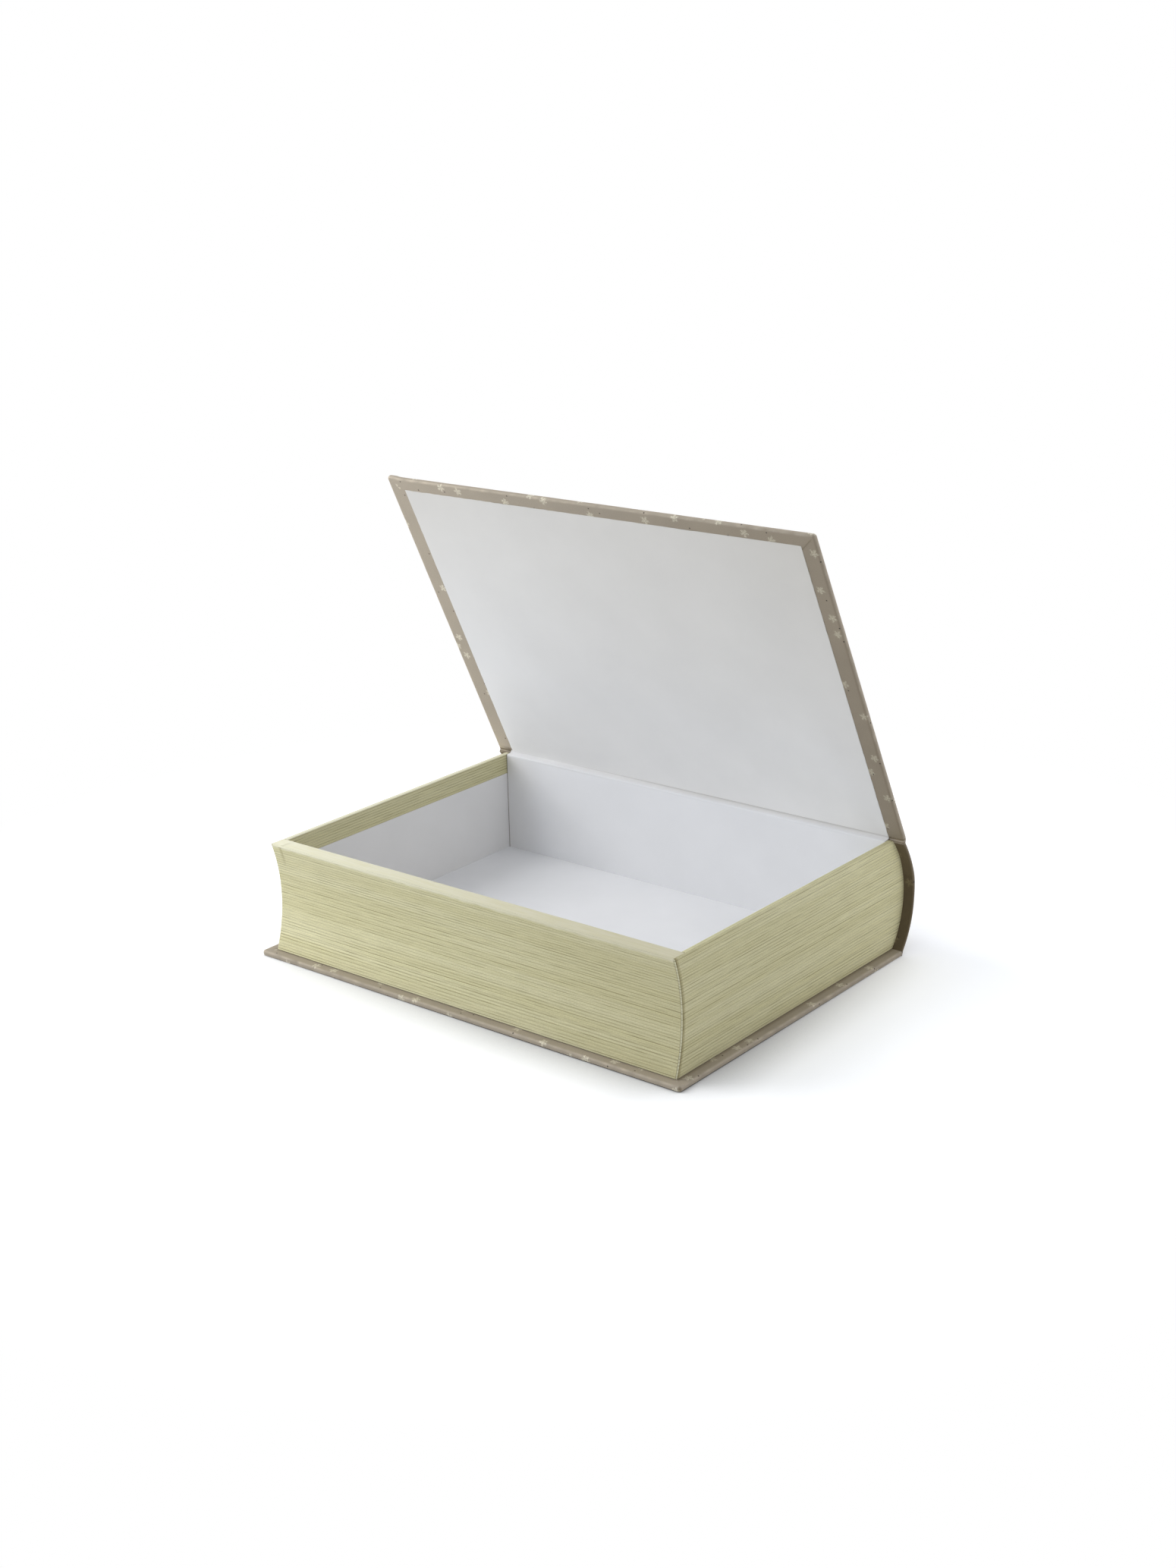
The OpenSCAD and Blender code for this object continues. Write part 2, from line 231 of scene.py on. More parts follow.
def rounded_path(corners, spacing, arc_steps=5):
    """Points along a path of (a, b, radius) corners, with the length of path before each of them."""
    places = [Vector(corner[:2]) for corner in corners]
    ways = [(b - a).normalized() for a, b in zip(places, places[1:])]
    turns = [0.0] + [a.angle(b) for a, b in zip(ways, ways[1:])] + [0.0]
    reaches = [corner[2] * math.tan(turn / 2) for corner, turn in zip(corners, turns)]
    # A straight stretch keeps its support points only where it is long enough for both
    roomy = [(b - a).length - near - far > 2.5 * SUPPORT
             for a, b, near, far in zip(places, places[1:], reaches, reaches[1:])]
    stops = [places[0]]
    for i in range(1, len(places) - 1):
        corner, radius, turn, reach = places[i], corners[i][2], turns[i], reaches[i]
        if radius == 0:
            stops.append(corner)
            continue
        centre = corner + (ways[i] - ways[i - 1]).normalized() * radius / math.cos(turn / 2)
        first, last = corner - ways[i - 1] * reach - centre, corner + ways[i] * reach - centre
        if roomy[i - 1]:
            stops.append(corner - ways[i - 1] * (reach + SUPPORT))
        for step in range(arc_steps + 1):
            t = step / arc_steps
            swung = first * math.sin((1 - t) * turn) + last * math.sin(t * turn)
            stops.append(centre + swung / math.sin(turn))
        if roomy[i]:
            stops.append(corner + ways[i] * (reach + SUPPORT))
    stops.append(places[-1])
    points = [stops[0]]
    for a, b in zip(stops, stops[1:]):
        points += [a.lerp(b, t) for t in spread(0, 1, spacing / max((b - a).length, 1e-9))[1:]]
    lengths = np.cumsum([0] + [(b - a).length for a, b in zip(points, points[1:])])
    return points, lengths


# Sheets


class Sheet:
    """A sheet of paper: nets of points in place, with each point's millimetres on the flat sheet."""

    def __init__(self, name):
        self.name = name
        self.points = []
        self.flats = []
        self.shades = []
        self.faces = []
        self.finishes = []

    def net(self, rows, finish=0):
        """Adds faces between rows of ((x, y, z), (u, v), shade); (u, v) are in metres on the flat sheet.

        The shade may be left out. Above 0 the paper is paler there, where it is rubbed or where light is
        painted on, and below 0 it is darker with painted shade.
        """
        first, width = len(self.points), len(rows[0])
        for row in rows:
            self.points += [point[0] for point in row]
            self.flats += [(point[1][0] / MM, point[1][1] / MM) for point in row]
            self.shades += [point[2] if len(point) > 2 else 0.0 for point in row]
        for i in range(len(rows) - 1):
            for j in range(width - 1):
                a = first + i * width + j
                self.faces.append((a, a + 1, a + width + 1, a + width))
                self.finishes.append(finish)

    def make(self, facing, materials, thickness, uneven=None, rim=1):
        """Joins the nets, turns the printed face outwards and gives the sheet its thickness behind it."""
        mesh = bpy.data.meshes.new(self.name)
        mesh.from_pydata(self.points, [], self.faces)
        flat_map = mesh.uv_layers.new(name="paper")
        for loop in mesh.loops:
            flat_map.data[loop.index].uv = self.flats[loop.vertex_index]
        mesh.polygons.foreach_set("material_index", self.finishes)
        mesh.polygons.foreach_set("use_smooth", [True] * len(mesh.polygons))
        mesh.attributes.new("shade", "FLOAT", "POINT").data.foreach_set("value", self.shades)
        bm = bmesh.new()
        bm.from_mesh(mesh)
        bmesh.ops.remove_doubles(bm, verts=bm.verts, dist=0.01 * MM)
        bmesh.ops.dissolve_degenerate(bm, edges=bm.edges, dist=0.005 * MM)
        bmesh.ops.recalc_face_normals(bm, faces=bm.faces)
        facing = Vector(facing)
        outermost = max(bm.faces, key=lambda f: (round(f.calc_center_median().dot(facing), 5),
                                                 abs(f.normal.dot(facing))))
        if outermost.normal.dot(facing) < 0:
            bmesh.ops.reverse_faces(bm, faces=bm.faces)
        if uneven:
            bm.normal_update()
            moves = [v.normal * uneven(v.co) for v in bm.verts]
            for v, move in zip(bm.verts, moves):
                v.co += move
        for edge in bm.edges:
            edge.smooth = not edge.is_boundary
        bm.to_mesh(mesh)
        bm.free()
        piece = bpy.data.objects.new(self.name, mesh)
        bpy.context.scene.collection.objects.link(piece)
        for material in materials:
            mesh.materials.append(material)
        solid = piece.modifiers.new("paper thickness", "SOLIDIFY")
        solid.thickness = thickness
        solid.offset = -1
        solid.use_even_offset = True
        solid.material_offset_rim = min(rim, len(materials) - 1)
        with bpy.context.temp_override(object=piece, active_object=piece):
            bpy.ops.object.modifier_apply(modifier=solid.name)
        return piece


def ripple(height, length, seed=0.0):
    """A slow unevenness of a glued sheet, which only ever stands proud of the board beneath it."""
    def rise(place):
        return height * (0.5 + 0.5 * noise.noise(place / length + Vector((seed, seed, seed))))
    return rise


# Materials


def add(tree, kind, sockets=None, out=0, **settings):
    """Adds a shader node with its settings, its sockets set or linked, and returns one of its outputs."""
    node = tree.nodes.new("ShaderNode" + kind)
    for name, value in settings.items():
        setattr(node, name, value)
    for name, value in (sockets or {}).items():
        if isinstance(value, bpy.types.NodeSocket):
            tree.links.new(value, node.inputs[name])
        else:
            node.inputs[name].default_value = value
    return node.outputs[out]


def start_material(name, roughness, ior=1.5, metallic=0.0):
    """An empty material with its shader, and the shader node that the colour and bump go to."""
    material = bpy.data.materials.new(name)
    material.use_nodes = True
    tree = material.node_tree
    shader = tree.nodes["Principled BSDF"]
    shader.inputs["Roughness"].default_value = roughness
    shader.inputs["IOR"].default_value = ior
    shader.inputs["Metallic"].default_value = metallic
    return material, tree, shader


def flat_sheet_place(tree):
    """Millimetres across and along the flat sheet."""
    return add(tree, "UVMap", uv_map="paper")


def paper_bump(tree, shader, place, grain, height):
    """The tooth of uncoated paper: fibres a few tenths of a millimetre long, drawn coarse enough to show."""
    fibres = add(tree, "TexNoise", {"Vector": place, "Scale": 1 / grain, "Detail": 3.0})
    bump = add(tree, "Bump", {"Height": fibres, "Strength": 1.0, "Distance": height})
    tree.links.new(bump, shader.inputs["Normal"])


def shaded(tree, colour):
    """A colour made paler where the sheet is rubbed or where light is painted on it, and darker and browner
    where shade is painted on it.
    """
    shade = add(tree, "Attribute", out="Fac", attribute_name="shade")
    gain = add(tree, "Math", {0: 3.2, 1: shade}, operation="POWER")
    painted_shading = add(tree, "MapRange", {0: shade, 1: 0.0, 2: -0.95})
    tint = add(tree, "Mix", {0: painted_shading, 6: (1, 1, 1, 1), 7: linear("#ffeec6")}, out=2, data_type="RGBA")
    tinted = add(tree, "VectorMath", {0: colour, 1: tint}, operation="MULTIPLY")
    return add(tree, "VectorMath", {0: tinted, "Scale": gain}, operation="SCALE")


def varied(tree, colour, pattern, low, high, darkest, palest):
    """A colour that is multiplied by darkest where a pattern is low, and by palest where it is high."""
    factor = add(tree, "MapRange", {0: pattern, 1: low, 2: high, 3: darkest, 4: palest})
    return add(tree, "VectorMath", {0: colour, "Scale": factor}, operation="SCALE")


# Matte offset-printed paper: an even, dull taupe with small cream sprigs, and dark pin dots between
def printed_cover_paper(colours):
    material, tree, shader = start_material("printed_cover_paper", roughness=0.72, ior=1.48)
    place = flat_sheet_place(tree)

    # One sprig about every 15 mm each way, never in rows, each turned its own way
    cells = add(tree, "TexVoronoi", {"Vector": place, "Scale": 1 / 15.3, "Randomness": 0.8},
                out="Position", voronoi_dimensions="2D").node
    chance = add(tree, "SeparateColor", {0: cells.outputs["Color"]}).node
    from_sprig = add(tree, "VectorMath", {0: place, 1: cells.outputs["Position"]},
                     operation="SUBTRACT")
    turn = add(tree, "Math", {0: chance.outputs[0], 1: 2 * math.pi}, operation="MULTIPLY")
    turned = add(tree, "VectorRotate", {"Vector": from_sprig, "Angle": turn},
                 rotation_type="Z_AXIS")
    parts = add(tree, "SeparateXYZ", {0: turned}).node
    distance = add(tree, "VectorMath", {0: turned}, out="Value", operation="LENGTH")
    angle = add(tree, "Math", {0: parts.outputs[1], 1: parts.outputs[0]}, operation="ARCTAN2")

    # Five pointed leaflets that reach 2.5 mm, with ragged outlines and gaps where the ink missed
    half_turns = add(tree, "Math", {0: angle, 1: 2.5}, operation="MULTIPLY")
    lobe = add(tree, "Math", {0: half_turns}, operation="COSINE")
    lobe = add(tree, "Math", {0: lobe}, operation="ABSOLUTE")
    lobe = add(tree, "Math", {0: lobe, 1: 0.6}, operation="POWER")
    leaf_reach = add(tree, "Math", {0: lobe, 1: 1.9, 2: 0.6}, operation="MULTIPLY_ADD")
    fuzz = add(tree, "TexNoise", {"Vector": place, "Scale": 1.5, "Detail": 2.0})
    ragged = add(tree, "Math", {0: fuzz, 1: 3.4, 2: -1.7}, operation="MULTIPLY_ADD")
    outline = add(tree, "Math", {0: leaf_reach, 1: ragged}, operation="ADD")
    inside = add(tree, "Math", {0: outline, 1: distance}, operation="SUBTRACT")
    leaf = add(tree, "MapRange", {0: inside, 1: -0.25, 2: 0.6}, interpolation_type="SMOOTHSTEP")
    missed = add(tree, "TexNoise", {"Vector": place, "Scale": 1.9, "Detail": 2.0})
    inked = add(tree, "MapRange", {0: missed, 1: 0.40, 2: 0.56, 3: 0.2, 4: 0.95})
    sprig = add(tree, "Math", {0: leaf, 1: inked}, operation="MULTIPLY")

    # One pin dot, about 0.8 mm across, every 15 mm
    dots = add(tree, "TexVoronoi", {"Vector": place, "Scale": 1 / 15, "Randomness": 1.0},
               out="Distance", voronoi_dimensions="2D")
    dot = add(tree, "MapRange", {0: dots, 1: 0.034, 2: 0.020}, interpolation_type="SMOOTHSTEP")

    # Soft clouding of the ink, and a finer mottle where it has sunk into the paper
    clouds = add(tree, "TexNoise", {"Vector": place, "Scale": 1 / 22, "Detail": 4.0})
    mottle = add(tree, "TexNoise", {"Vector": place, "Scale": 1.6, "Detail": 3.0})
    both = add(tree, "Math", {0: clouds, 1: mottle}, operation="ADD")
    ground = varied(tree, tuple(colours.cover)[:3], both, 0.6, 1.4, 0.92, 1.08)
    with_dots = add(tree, "Mix", {0: dot, 6: ground, 7: tuple(colours.pin_dot)},
                    out=2, data_type="RGBA")
    printed = add(tree, "Mix", {0: sprig, 6: with_dots, 7: tuple(colours.sprig)},
                  out=2, data_type="RGBA")
    tree.links.new(shaded(tree, printed), shader.inputs["Base Color"])
    paper_bump(tree, shader, place, grain=0.6, height=0.03 * MM)
    return material


# Uncoated cream paper printed with thin brown lines: dull, and streaked along the lines like cut pages
def ruled_page_edge_paper(colours, folded):
    name = "ruled_page_edge_paper_folded" if folded else "ruled_page_edge_paper"
    material, tree, shader = start_material(name, roughness=0.8, ior=1.48)
    place = flat_sheet_place(tree)
    parts = add(tree, "SeparateXYZ", {0: place}).node
    across, along = parts.outputs[0], parts.outputs[1]

    def stretched(reach, height, shift=0.0):
        """Noise that runs for reach mm along the lines and changes every height mm across them."""
        u = add(tree, "Math", {0: across, 1: 1 / reach}, operation="MULTIPLY")
        v = add(tree, "Math", {0: along, 1: 1 / height, 2: shift}, operation="MULTIPLY_ADD")
        spot = add(tree, "CombineXYZ", {0: u, 1: v, 2: shift})
        return add(tree, "TexNoise", {"Vector": spot, "Scale": 1.0, "Detail": 2.0})

    def lines(pitch, half_width, wander, shift):
        """Lines about pitch mm apart; each has its own strength and comes and goes along its length."""
        drift = add(tree, "Math", {0: stretched(140, 30, shift), 1: wander / pitch, 2: shift},
                    operation="MULTIPLY_ADD")
        height = add(tree, "Math", {0: along, 1: 1 / pitch, 2: drift}, operation="MULTIPLY_ADD")
        rows = add(tree, "TexVoronoi", {"W": height, "Scale": 1.0, "Randomness": 0.32},
                   out="Distance", voronoi_dimensions="1D")
        own = add(tree, "SeparateColor", {0: rows.node.outputs["Color"]}).node
        line = add(tree, "MapRange",
                   {0: rows, 1: 1.5 * half_width / pitch, 2: 0.5 * half_width / pitch},
                   interpolation_type="SMOOTHSTEP")
        u = add(tree, "Math", {0: across, 1: 1 / 18}, operation="MULTIPLY")
        v = add(tree, "Math", {0: own.outputs[1], 1: 91.0}, operation="MULTIPLY")
        spot = add(tree, "CombineXYZ", {0: u, 1: v})
        coming = add(tree, "TexNoise", {"Vector": spot, "Scale": 1.0, "Detail": 2.0})
        fade = add(tree, "MapRange", {0: coming, 1: 0.34, 2: 0.60, 3: 0.32, 4: 1.0})
        strength = add(tree, "MapRange", {0: own.outputs[0], 3: 0.5, 4: 1.0})
        faded = add(tree, "Math", {0: line, 1: fade}, operation="MULTIPLY")
        return add(tree, "Math", {0: faded, 1: strength}, operation="MULTIPLY")

    strong = lines(pitch=1.5, half_width=0.2, wander=0.8, shift=3.0)
    fine = lines(pitch=0.8, half_width=0.11, wander=0.6, shift=11.0)
    fine_part = add(tree, "Math", {0: fine, 1: 0.5}, operation="MULTIPLY")
    inked = add(tree, "Math", {0: strong, 1: fine_part}, operation="MAXIMUM")

    # Broad, faint bands in the paper's own colour, and short streaks between the lines
    band = add(tree, "MapRange", {0: stretched(160, 7, 23.0), 1: 0.35, 2: 0.68, 4: 0.6},
               interpolation_type="SMOOTHSTEP")
    ground = add(tree, "Mix", {0: band, 6: tuple(colours.page), 7: tuple(colours.page_light)},
                 out=2, data_type="RGBA")
    streaked = varied(tree, ground, stretched(10, 0.6, 41.0), 0.3, 0.7, 0.93, 1.06)
    # The screen's dots, 0.1 mm apart, are drawn as a grain of 0.8 mm, which is coarse enough to show
    speckle = add(tree, "TexNoise", {"Vector": place, "Scale": 1 / 0.8, "Detail": 2.0})
    streaked = varied(tree, streaked, speckle, 0.3, 0.7, 0.93, 1.07)
    if folded:
        # Painted highlight on the rounded fold at the fore edge, and painted shade in a dark band just behind
        # it
        rubbed = add(tree, "MapRange", {0: across, 1: 0.2, 2: 0.0}, interpolation_type="SMOOTHSTEP")
        shade_start = add(tree, "MapRange", {0: across, 1: 0.1, 2: 0.3}, interpolation_type="SMOOTHSTEP")
        shade_end = add(tree, "MapRange", {0: across, 1: 1.3, 2: 0.6}, interpolation_type="SMOOTHSTEP")
        fold_shade = add(tree, "Math", {0: shade_start, 1: shade_end}, operation="MULTIPLY")
        fold_highlight = add(tree, "Math", {0: rubbed, 1: 0.5}, operation="MULTIPLY")
        streaked = add(tree, "Mix", {0: fold_highlight, 6: streaked, 7: tuple(colours.rim)},
                       out=2, data_type="RGBA")
        fold_shade_part = add(tree, "Math", {0: fold_shade, 1: 0.85}, operation="MULTIPLY")
        streaked = add(tree, "Mix", {0: fold_shade_part, 6: streaked, 7: tuple(colours.page_line)},
                       out=2, data_type="RGBA")
        ink_part = add(tree, "Math", {0: inked, 1: 0.75}, operation="MULTIPLY")
    else:
        # Where this paper goes over the rim its print is rubbed away, down to an uneven line
        uneven = add(tree, "Math", {0: stretched(7, 1.5, 57.0), 1: 2.4, 2: along},
                     operation="MULTIPLY_ADD")
        rubbed = add(tree, "MapRange", {0: uneven, 1: -1.6, 2: 0.0}, interpolation_type="SMOOTHSTEP")
        paler = add(tree, "Math", {0: rubbed, 1: 0.75}, operation="MULTIPLY")
        streaked = add(tree, "Mix", {0: paler, 6: streaked, 7: tuple(colours.rim)},
                       out=2, data_type="RGBA")
        kept = add(tree, "MapRange", {0: rubbed, 3: 0.75, 4: 0.15})
        ink_part = add(tree, "Math", {0: inked, 1: kept}, operation="MULTIPLY")
    printed = add(tree, "Mix", {0: ink_part, 6: streaked, 7: tuple(colours.page_line)},
                  out=2, data_type="RGBA")
    tree.links.new(shaded(tree, printed), shader.inputs["Base Color"])
    paper_bump(tree, shader, place, grain=0.7, height=0.03 * MM)
    return material


# The same paper where it carries no lines: cream, with faint creases from being folded over the rim
def plain_page_edge_paper(colours):
    material, tree, shader = start_material("plain_page_edge_paper", roughness=0.8, ior=1.48)
    place = flat_sheet_place(tree)
    drawn = add(tree, "VectorMath", {0: place, 1: (1 / 16, 1 / 1.3, 1)}, operation="MULTIPLY")
    streaks = add(tree, "TexNoise", {"Vector": drawn, "Scale": 1.0, "Detail": 3.0})
    tone = add(tree, "MapRange", {0: streaks, 1: 0.4, 2: 0.65, 3: 0.0, 4: 0.7})
    cream = add(tree, "Mix", {0: tone, 6: tuple(colours.rim), 7: tuple(colours.page_light)},
                out=2, data_type="RGBA")
    tree.links.new(shaded(tree, cream), shader.inputs["Base Color"])
    paper_bump(tree, shader, place, grain=1.2, height=0.05 * MM)
    return material


# Wood-free lining paper: white and dull, with a faint cloudiness where the glue has drawn it down
def white_lining_paper(name, colour):
    material, tree, shader = start_material(name, roughness=0.85, ior=1.48)
    place = flat_sheet_place(tree)
    clouds = add(tree, "TexNoise", {"Vector": place, "Scale": 1 / 40, "Detail": 3.0})
    white = varied(tree, tuple(colour)[:3], clouds, 0.3, 0.7, 0.975, 1.02)
    tree.links.new(shaded(tree, white), shader.inputs["Base Color"])
    paper_bump(tree, shader, place, grain=0.8, height=0.006 * MM)
    return material


# The cut edge of a paper shows its unprinted core
def cut_paper_edge(colours):
    material, tree, shader = start_material("cut_paper_edge", roughness=0.9, ior=1.48)
    place = flat_sheet_place(tree)
    fibres = add(tree, "TexNoise", {"Vector": place, "Scale": 3.0, "Detail": 2.0})
    core = varied(tree, tuple(colours.cut_edge)[:3], fibres, 0.3, 0.7, 0.92, 1.04)
    tree.links.new(core, shader.inputs["Base Color"])
    return material


# Greyboard of pressed waste paper: grey-brown with dark and pale fibres, and layered cut edges
def pressed_greyboard(colours):
    material, tree, shader = start_material("pressed_greyboard", roughness=0.9, ior=1.48)
    place = add(tree, "TexCoord", out="Object")
    specks = add(tree, "TexNoise", {"Vector": place, "Scale": 1 / (1.2 * MM), "Detail": 5.0})
    layers = add(tree, "TexNoise", {"Vector": place, "Scale": 1 / (14 * MM), "Detail": 4.0})
    both = add(tree, "Math", {0: specks, 1: layers}, operation="ADD")
    grey = varied(tree, tuple(colours.board)[:3], both, 0.7, 1.3, 0.75, 1.2)
    tree.links.new(grey, shader.inputs["Base Color"])
    bump = add(tree, "Bump", {"Height": specks, "Distance": 0.1 * MM})
    tree.links.new(bump, shader.inputs["Normal"])
    return material


# Nickel-plated magnet: bright and slightly yellow, with fine tumbling marks
def plated_nickel():
    material, tree, shader = start_material("plated_nickel", roughness=0.25, metallic=1.0)
    place = add(tree, "TexCoord", out="Object")
    marks = add(tree, "TexNoise", {"Vector": place, "Scale": 1 / (0.5 * MM), "Detail": 3.0})
    colour = add(tree, "Mix", {0: marks, 6: linear("#b9b5ab"), 7: linear("#cfccc4")},
                 out=2, data_type="RGBA")
    tree.links.new(colour, shader.inputs["Base Color"])
    return material


# Punched tin-plate: grey, with the sheet's rolling marks all one way
def rolled_tinplate():
    material, tree, shader = start_material("rolled_tinplate", roughness=0.35, metallic=1.0)
    place = add(tree, "TexCoord", out="Object")
    length, width = 12 * MM, 0.3 * MM
    drawn = add(tree, "VectorMath", {0: place, 1: (1 / length, 1 / width, 1 / width)},
                operation="MULTIPLY")
    marks = add(tree, "TexNoise", {"Vector": drawn, "Scale": 1.0, "Detail": 2.0})
    colour = add(tree, "Mix", {0: marks, 6: linear("#9da0a3"), 7: linear("#b4b6b8")},
                 out=2, data_type="RGBA")
    tree.links.new(colour, shader.inputs["Base Color"])
    return material


def finish_of(name, maker, *details):
    """The material of that name, made the first time that it is asked for."""
    return bpy.data.materials.get(name) or maker(*details)


def cover_papers(colours):
    return [finish_of("printed_cover_paper", printed_cover_paper, colours),
            finish_of("cut_paper_edge", cut_paper_edge, colours)]


def page_papers(colours, folded):
    name = "ruled_page_edge_paper_folded" if folded else "ruled_page_edge_paper"
    return [finish_of(name, ruled_page_edge_paper, colours, folded),
            finish_of("plain_page_edge_paper", plain_page_edge_paper, colours)]


def lining_papers(colours):
    return [finish_of("white_lining_paper", white_lining_paper, "white_lining_paper", colours.lining)]


def lid_lining_papers(colours):
    name = "white_lid_lining_paper"
    return [finish_of(name, white_lining_paper, name, colours.lid_lining)]


# Pieces of the cover


def board_shares(length, spacing):
    """Places along one edge of a cover board, as shares of it, closer together near its corner."""
    plain = length - FACE_INSET
    near = np.array([0, 0.4, 1.2, 2.4, 4, 6, 8]) * MM
    stops = np.concatenate([spread(0, plain - near[-1], spacing)[:-1], plain - near[::-1]])
    return stops / plain


def board_outline(sizes, half, depth, inset, spacing):
    """The outline of a cover board drawn in by inset, from its rear right corner round to its rear left.

    Each point has its x, its distance r from the rear edge, its direction and the side it is on.
    """
    corner = max(sizes.corner_round - inset, 0)
    drawn_in = max(sizes.corner_round, inset)
    centre_x, centre_r = half - drawn_in, depth - drawn_in
    shares, across = board_shares(depth, spacing), board_shares(half, spacing)
    points = []
    for side in (1, -1):
        straight = [(side * (half - inset), r, (side, 0), "side") for r in shares * centre_r]
        turned = [(side * (centre_x + corner * math.cos(a)), centre_r + corner * math.sin(a),
                   (side * math.cos(a), math.sin(a)), "corner")
                  for a in np.linspace(0, math.pi / 2, 6)]
        if side == 1:
            points += straight + turned
            points += [(x, depth - inset, (0, 1), "front")
                       for x in np.concatenate([across[::-1], -across[1:]]) * centre_x]
        else:
            points += turned[::-1] + straight[::-1]
    return points


def wrapped_board(name, sizes, half, depth, thick, place, spacing, shade):
    """Paper over a board's outer face, round three of its edges and in over its inner face's margins."""
    sheet = Sheet(name)
    edge = sizes.edge_round
    corners = [(FACE_INSET, thick, 0), (0, thick, edge), (0, 0, edge), (sizes.turn_in, 0, 0)]
    section, lengths = rounded_path(corners, spacing)
    outlines = [board_outline(sizes, half, depth, inset, spacing) for inset, height in section]
    corner_x, corner_r = half - sizes.corner_round, depth - sizes.corner_round

    def flat(point, beyond):
        x, r, way, side = point
        if side == "side":
            return (way[0] * (half + beyond), -r)
        if side == "front":
            return (x, -(depth + beyond))
        reach = sizes.corner_round + beyond
        return (math.copysign(corner_x, way[0]) + way[0] * reach, -(corner_r + way[1] * reach))

    rows = []
    for (inset, height), length, outline in zip(section, lengths, outlines):
        bend = 0.3 * edge
        from_fold = min(math.dist((inset, height), (bend, level)) for level in (bend, thick - bend))
        wear = near_to(from_fold, edge)
        rows.append([(place(p[0], p[1], height), flat(p, length - FACE_INSET),
                      shade(p[0], p[1], inset, height, wear), p[3]) for p in outline])
    first = 0
    width = len(outlines[0])
    for j in range(1, width + 1):
        if j == width or rows[0][j][3] != rows[0][first][3]:
            sheet.net([[p[:3] for p in row[first:j]] for row in rows])
            first = j
    # Between the stretches, the corner arcs meet the straight sides in the same points
    across = board_shares(half, spacing) * (half - FACE_INSET)
    xs = np.concatenate([across[::-1], -across[1:]])
    rs = board_shares(depth, spacing) * (depth - FACE_INSET)
    sheet.net([[(place(x, r, thick), (x, -r)) for x in xs] for r in rs])
    return sheet


def rubbed(x, r, wear):
    """The folds have lost some ink, here more and there less."""
    return wear * (0.18 + 0.32 * noise.noise(Vector((x, r, 0)) / (5 * MM)))


def edge_section(half, thick, rounding, turn_in, spacing):
    """Across a wrapped strip: from one end's turn-in round that end, over the outer face and back in.

    Each point has its x, its height above the inner face as a share of the thickness, and its place
    on the flat sheet.
    """
    plain = half - FACE_INSET
    corners = [(half - turn_in, 0, 0), (half, 0, rounding), (half, thick, rounding), (plain, thick, 0)]
    points, lengths = rounded_path(corners, spacing)
    right = [(p.x, p.y / thick, plain + lengths[-1] - s) for p, s in zip(points, lengths)]
    middle = [(x, 1.0, x) for x in spread(plain, -plain, spacing)[1:-1]]
    left = [(-x, share, -u) for x, share, u in right[::-1]]
    return right + middle + left


def wrapped_strip(sheet, section, stations, shade):
    """A strip swept through stations, each an inner point, an outer point and a place on the sheet."""
    sheet.net([[((x, *inner.lerp(outer, share)), (u, v), shade(x, share, v)) for x, share, u in section]
               for inner, outer, v in stations])


def base_cover(sizes, colours):
    """The lower cover's paper."""
    depth = BASE_HIGH.y - BASE_LOW.y
    dents = (-110 * MM, -86 * MM)
    # About where the tray's walls stand on the margin
    wall_inset = 6.4 * MM

    def shade(x, r, inset, height, wear):
        """Rubbed folds, and painted shade: in two dents in the front edge, in a notch at the right fore
        corner, and on the margin beside the tray's walls.
        """
        front = near_to(depth - r - inset, 2 * MM)
        dented = max(near_to(x - dent, 2.5 * MM) for dent in dents) * front
        corner_shade = near_to(math.dist((x, r), (COVER_HALF, depth)), 1.6 * MM)
        wall_shade = 0.0
        # Painted shade on the margin beside the tray's foot, deepest beside its ends
        if height < 0.3 * COVER_THICK:
            beside = abs(x) > COVER_HALF - sizes.turn_in and depth - r > inset + 0.1 * MM
            wall_shade = (0.5 if beside else 0.2) * near_to(inset - wall_inset, 3 * MM)
        return rubbed(x, r, wear) - 0.3 * dented * wear - 0.9 * corner_shade - wall_shade

    def rise(place):
        """Uneven where it can be seen, dented at two places, and flat beneath."""
        front = near_to(place.y - BASE_LOW.y, 2 * MM)
        dented = max(near_to(place.x - dent, 3 * MM) for dent in dents) * front
        seen = ramp(place.z, 0, 1.5 * MM)
        return seen * (ripple(0.12 * MM, 9 * MM, 3.1)(place) - 0.3 * MM * dented)

    sheet = wrapped_board("base_cover", sizes, COVER_HALF, depth, COVER_THICK, base_place, sizes.net, shade)
    piece = sheet.make((0, 0, -1), cover_papers(colours), sizes.paper, rise)
    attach(piece, "box")
    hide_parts("base_cover_paper")


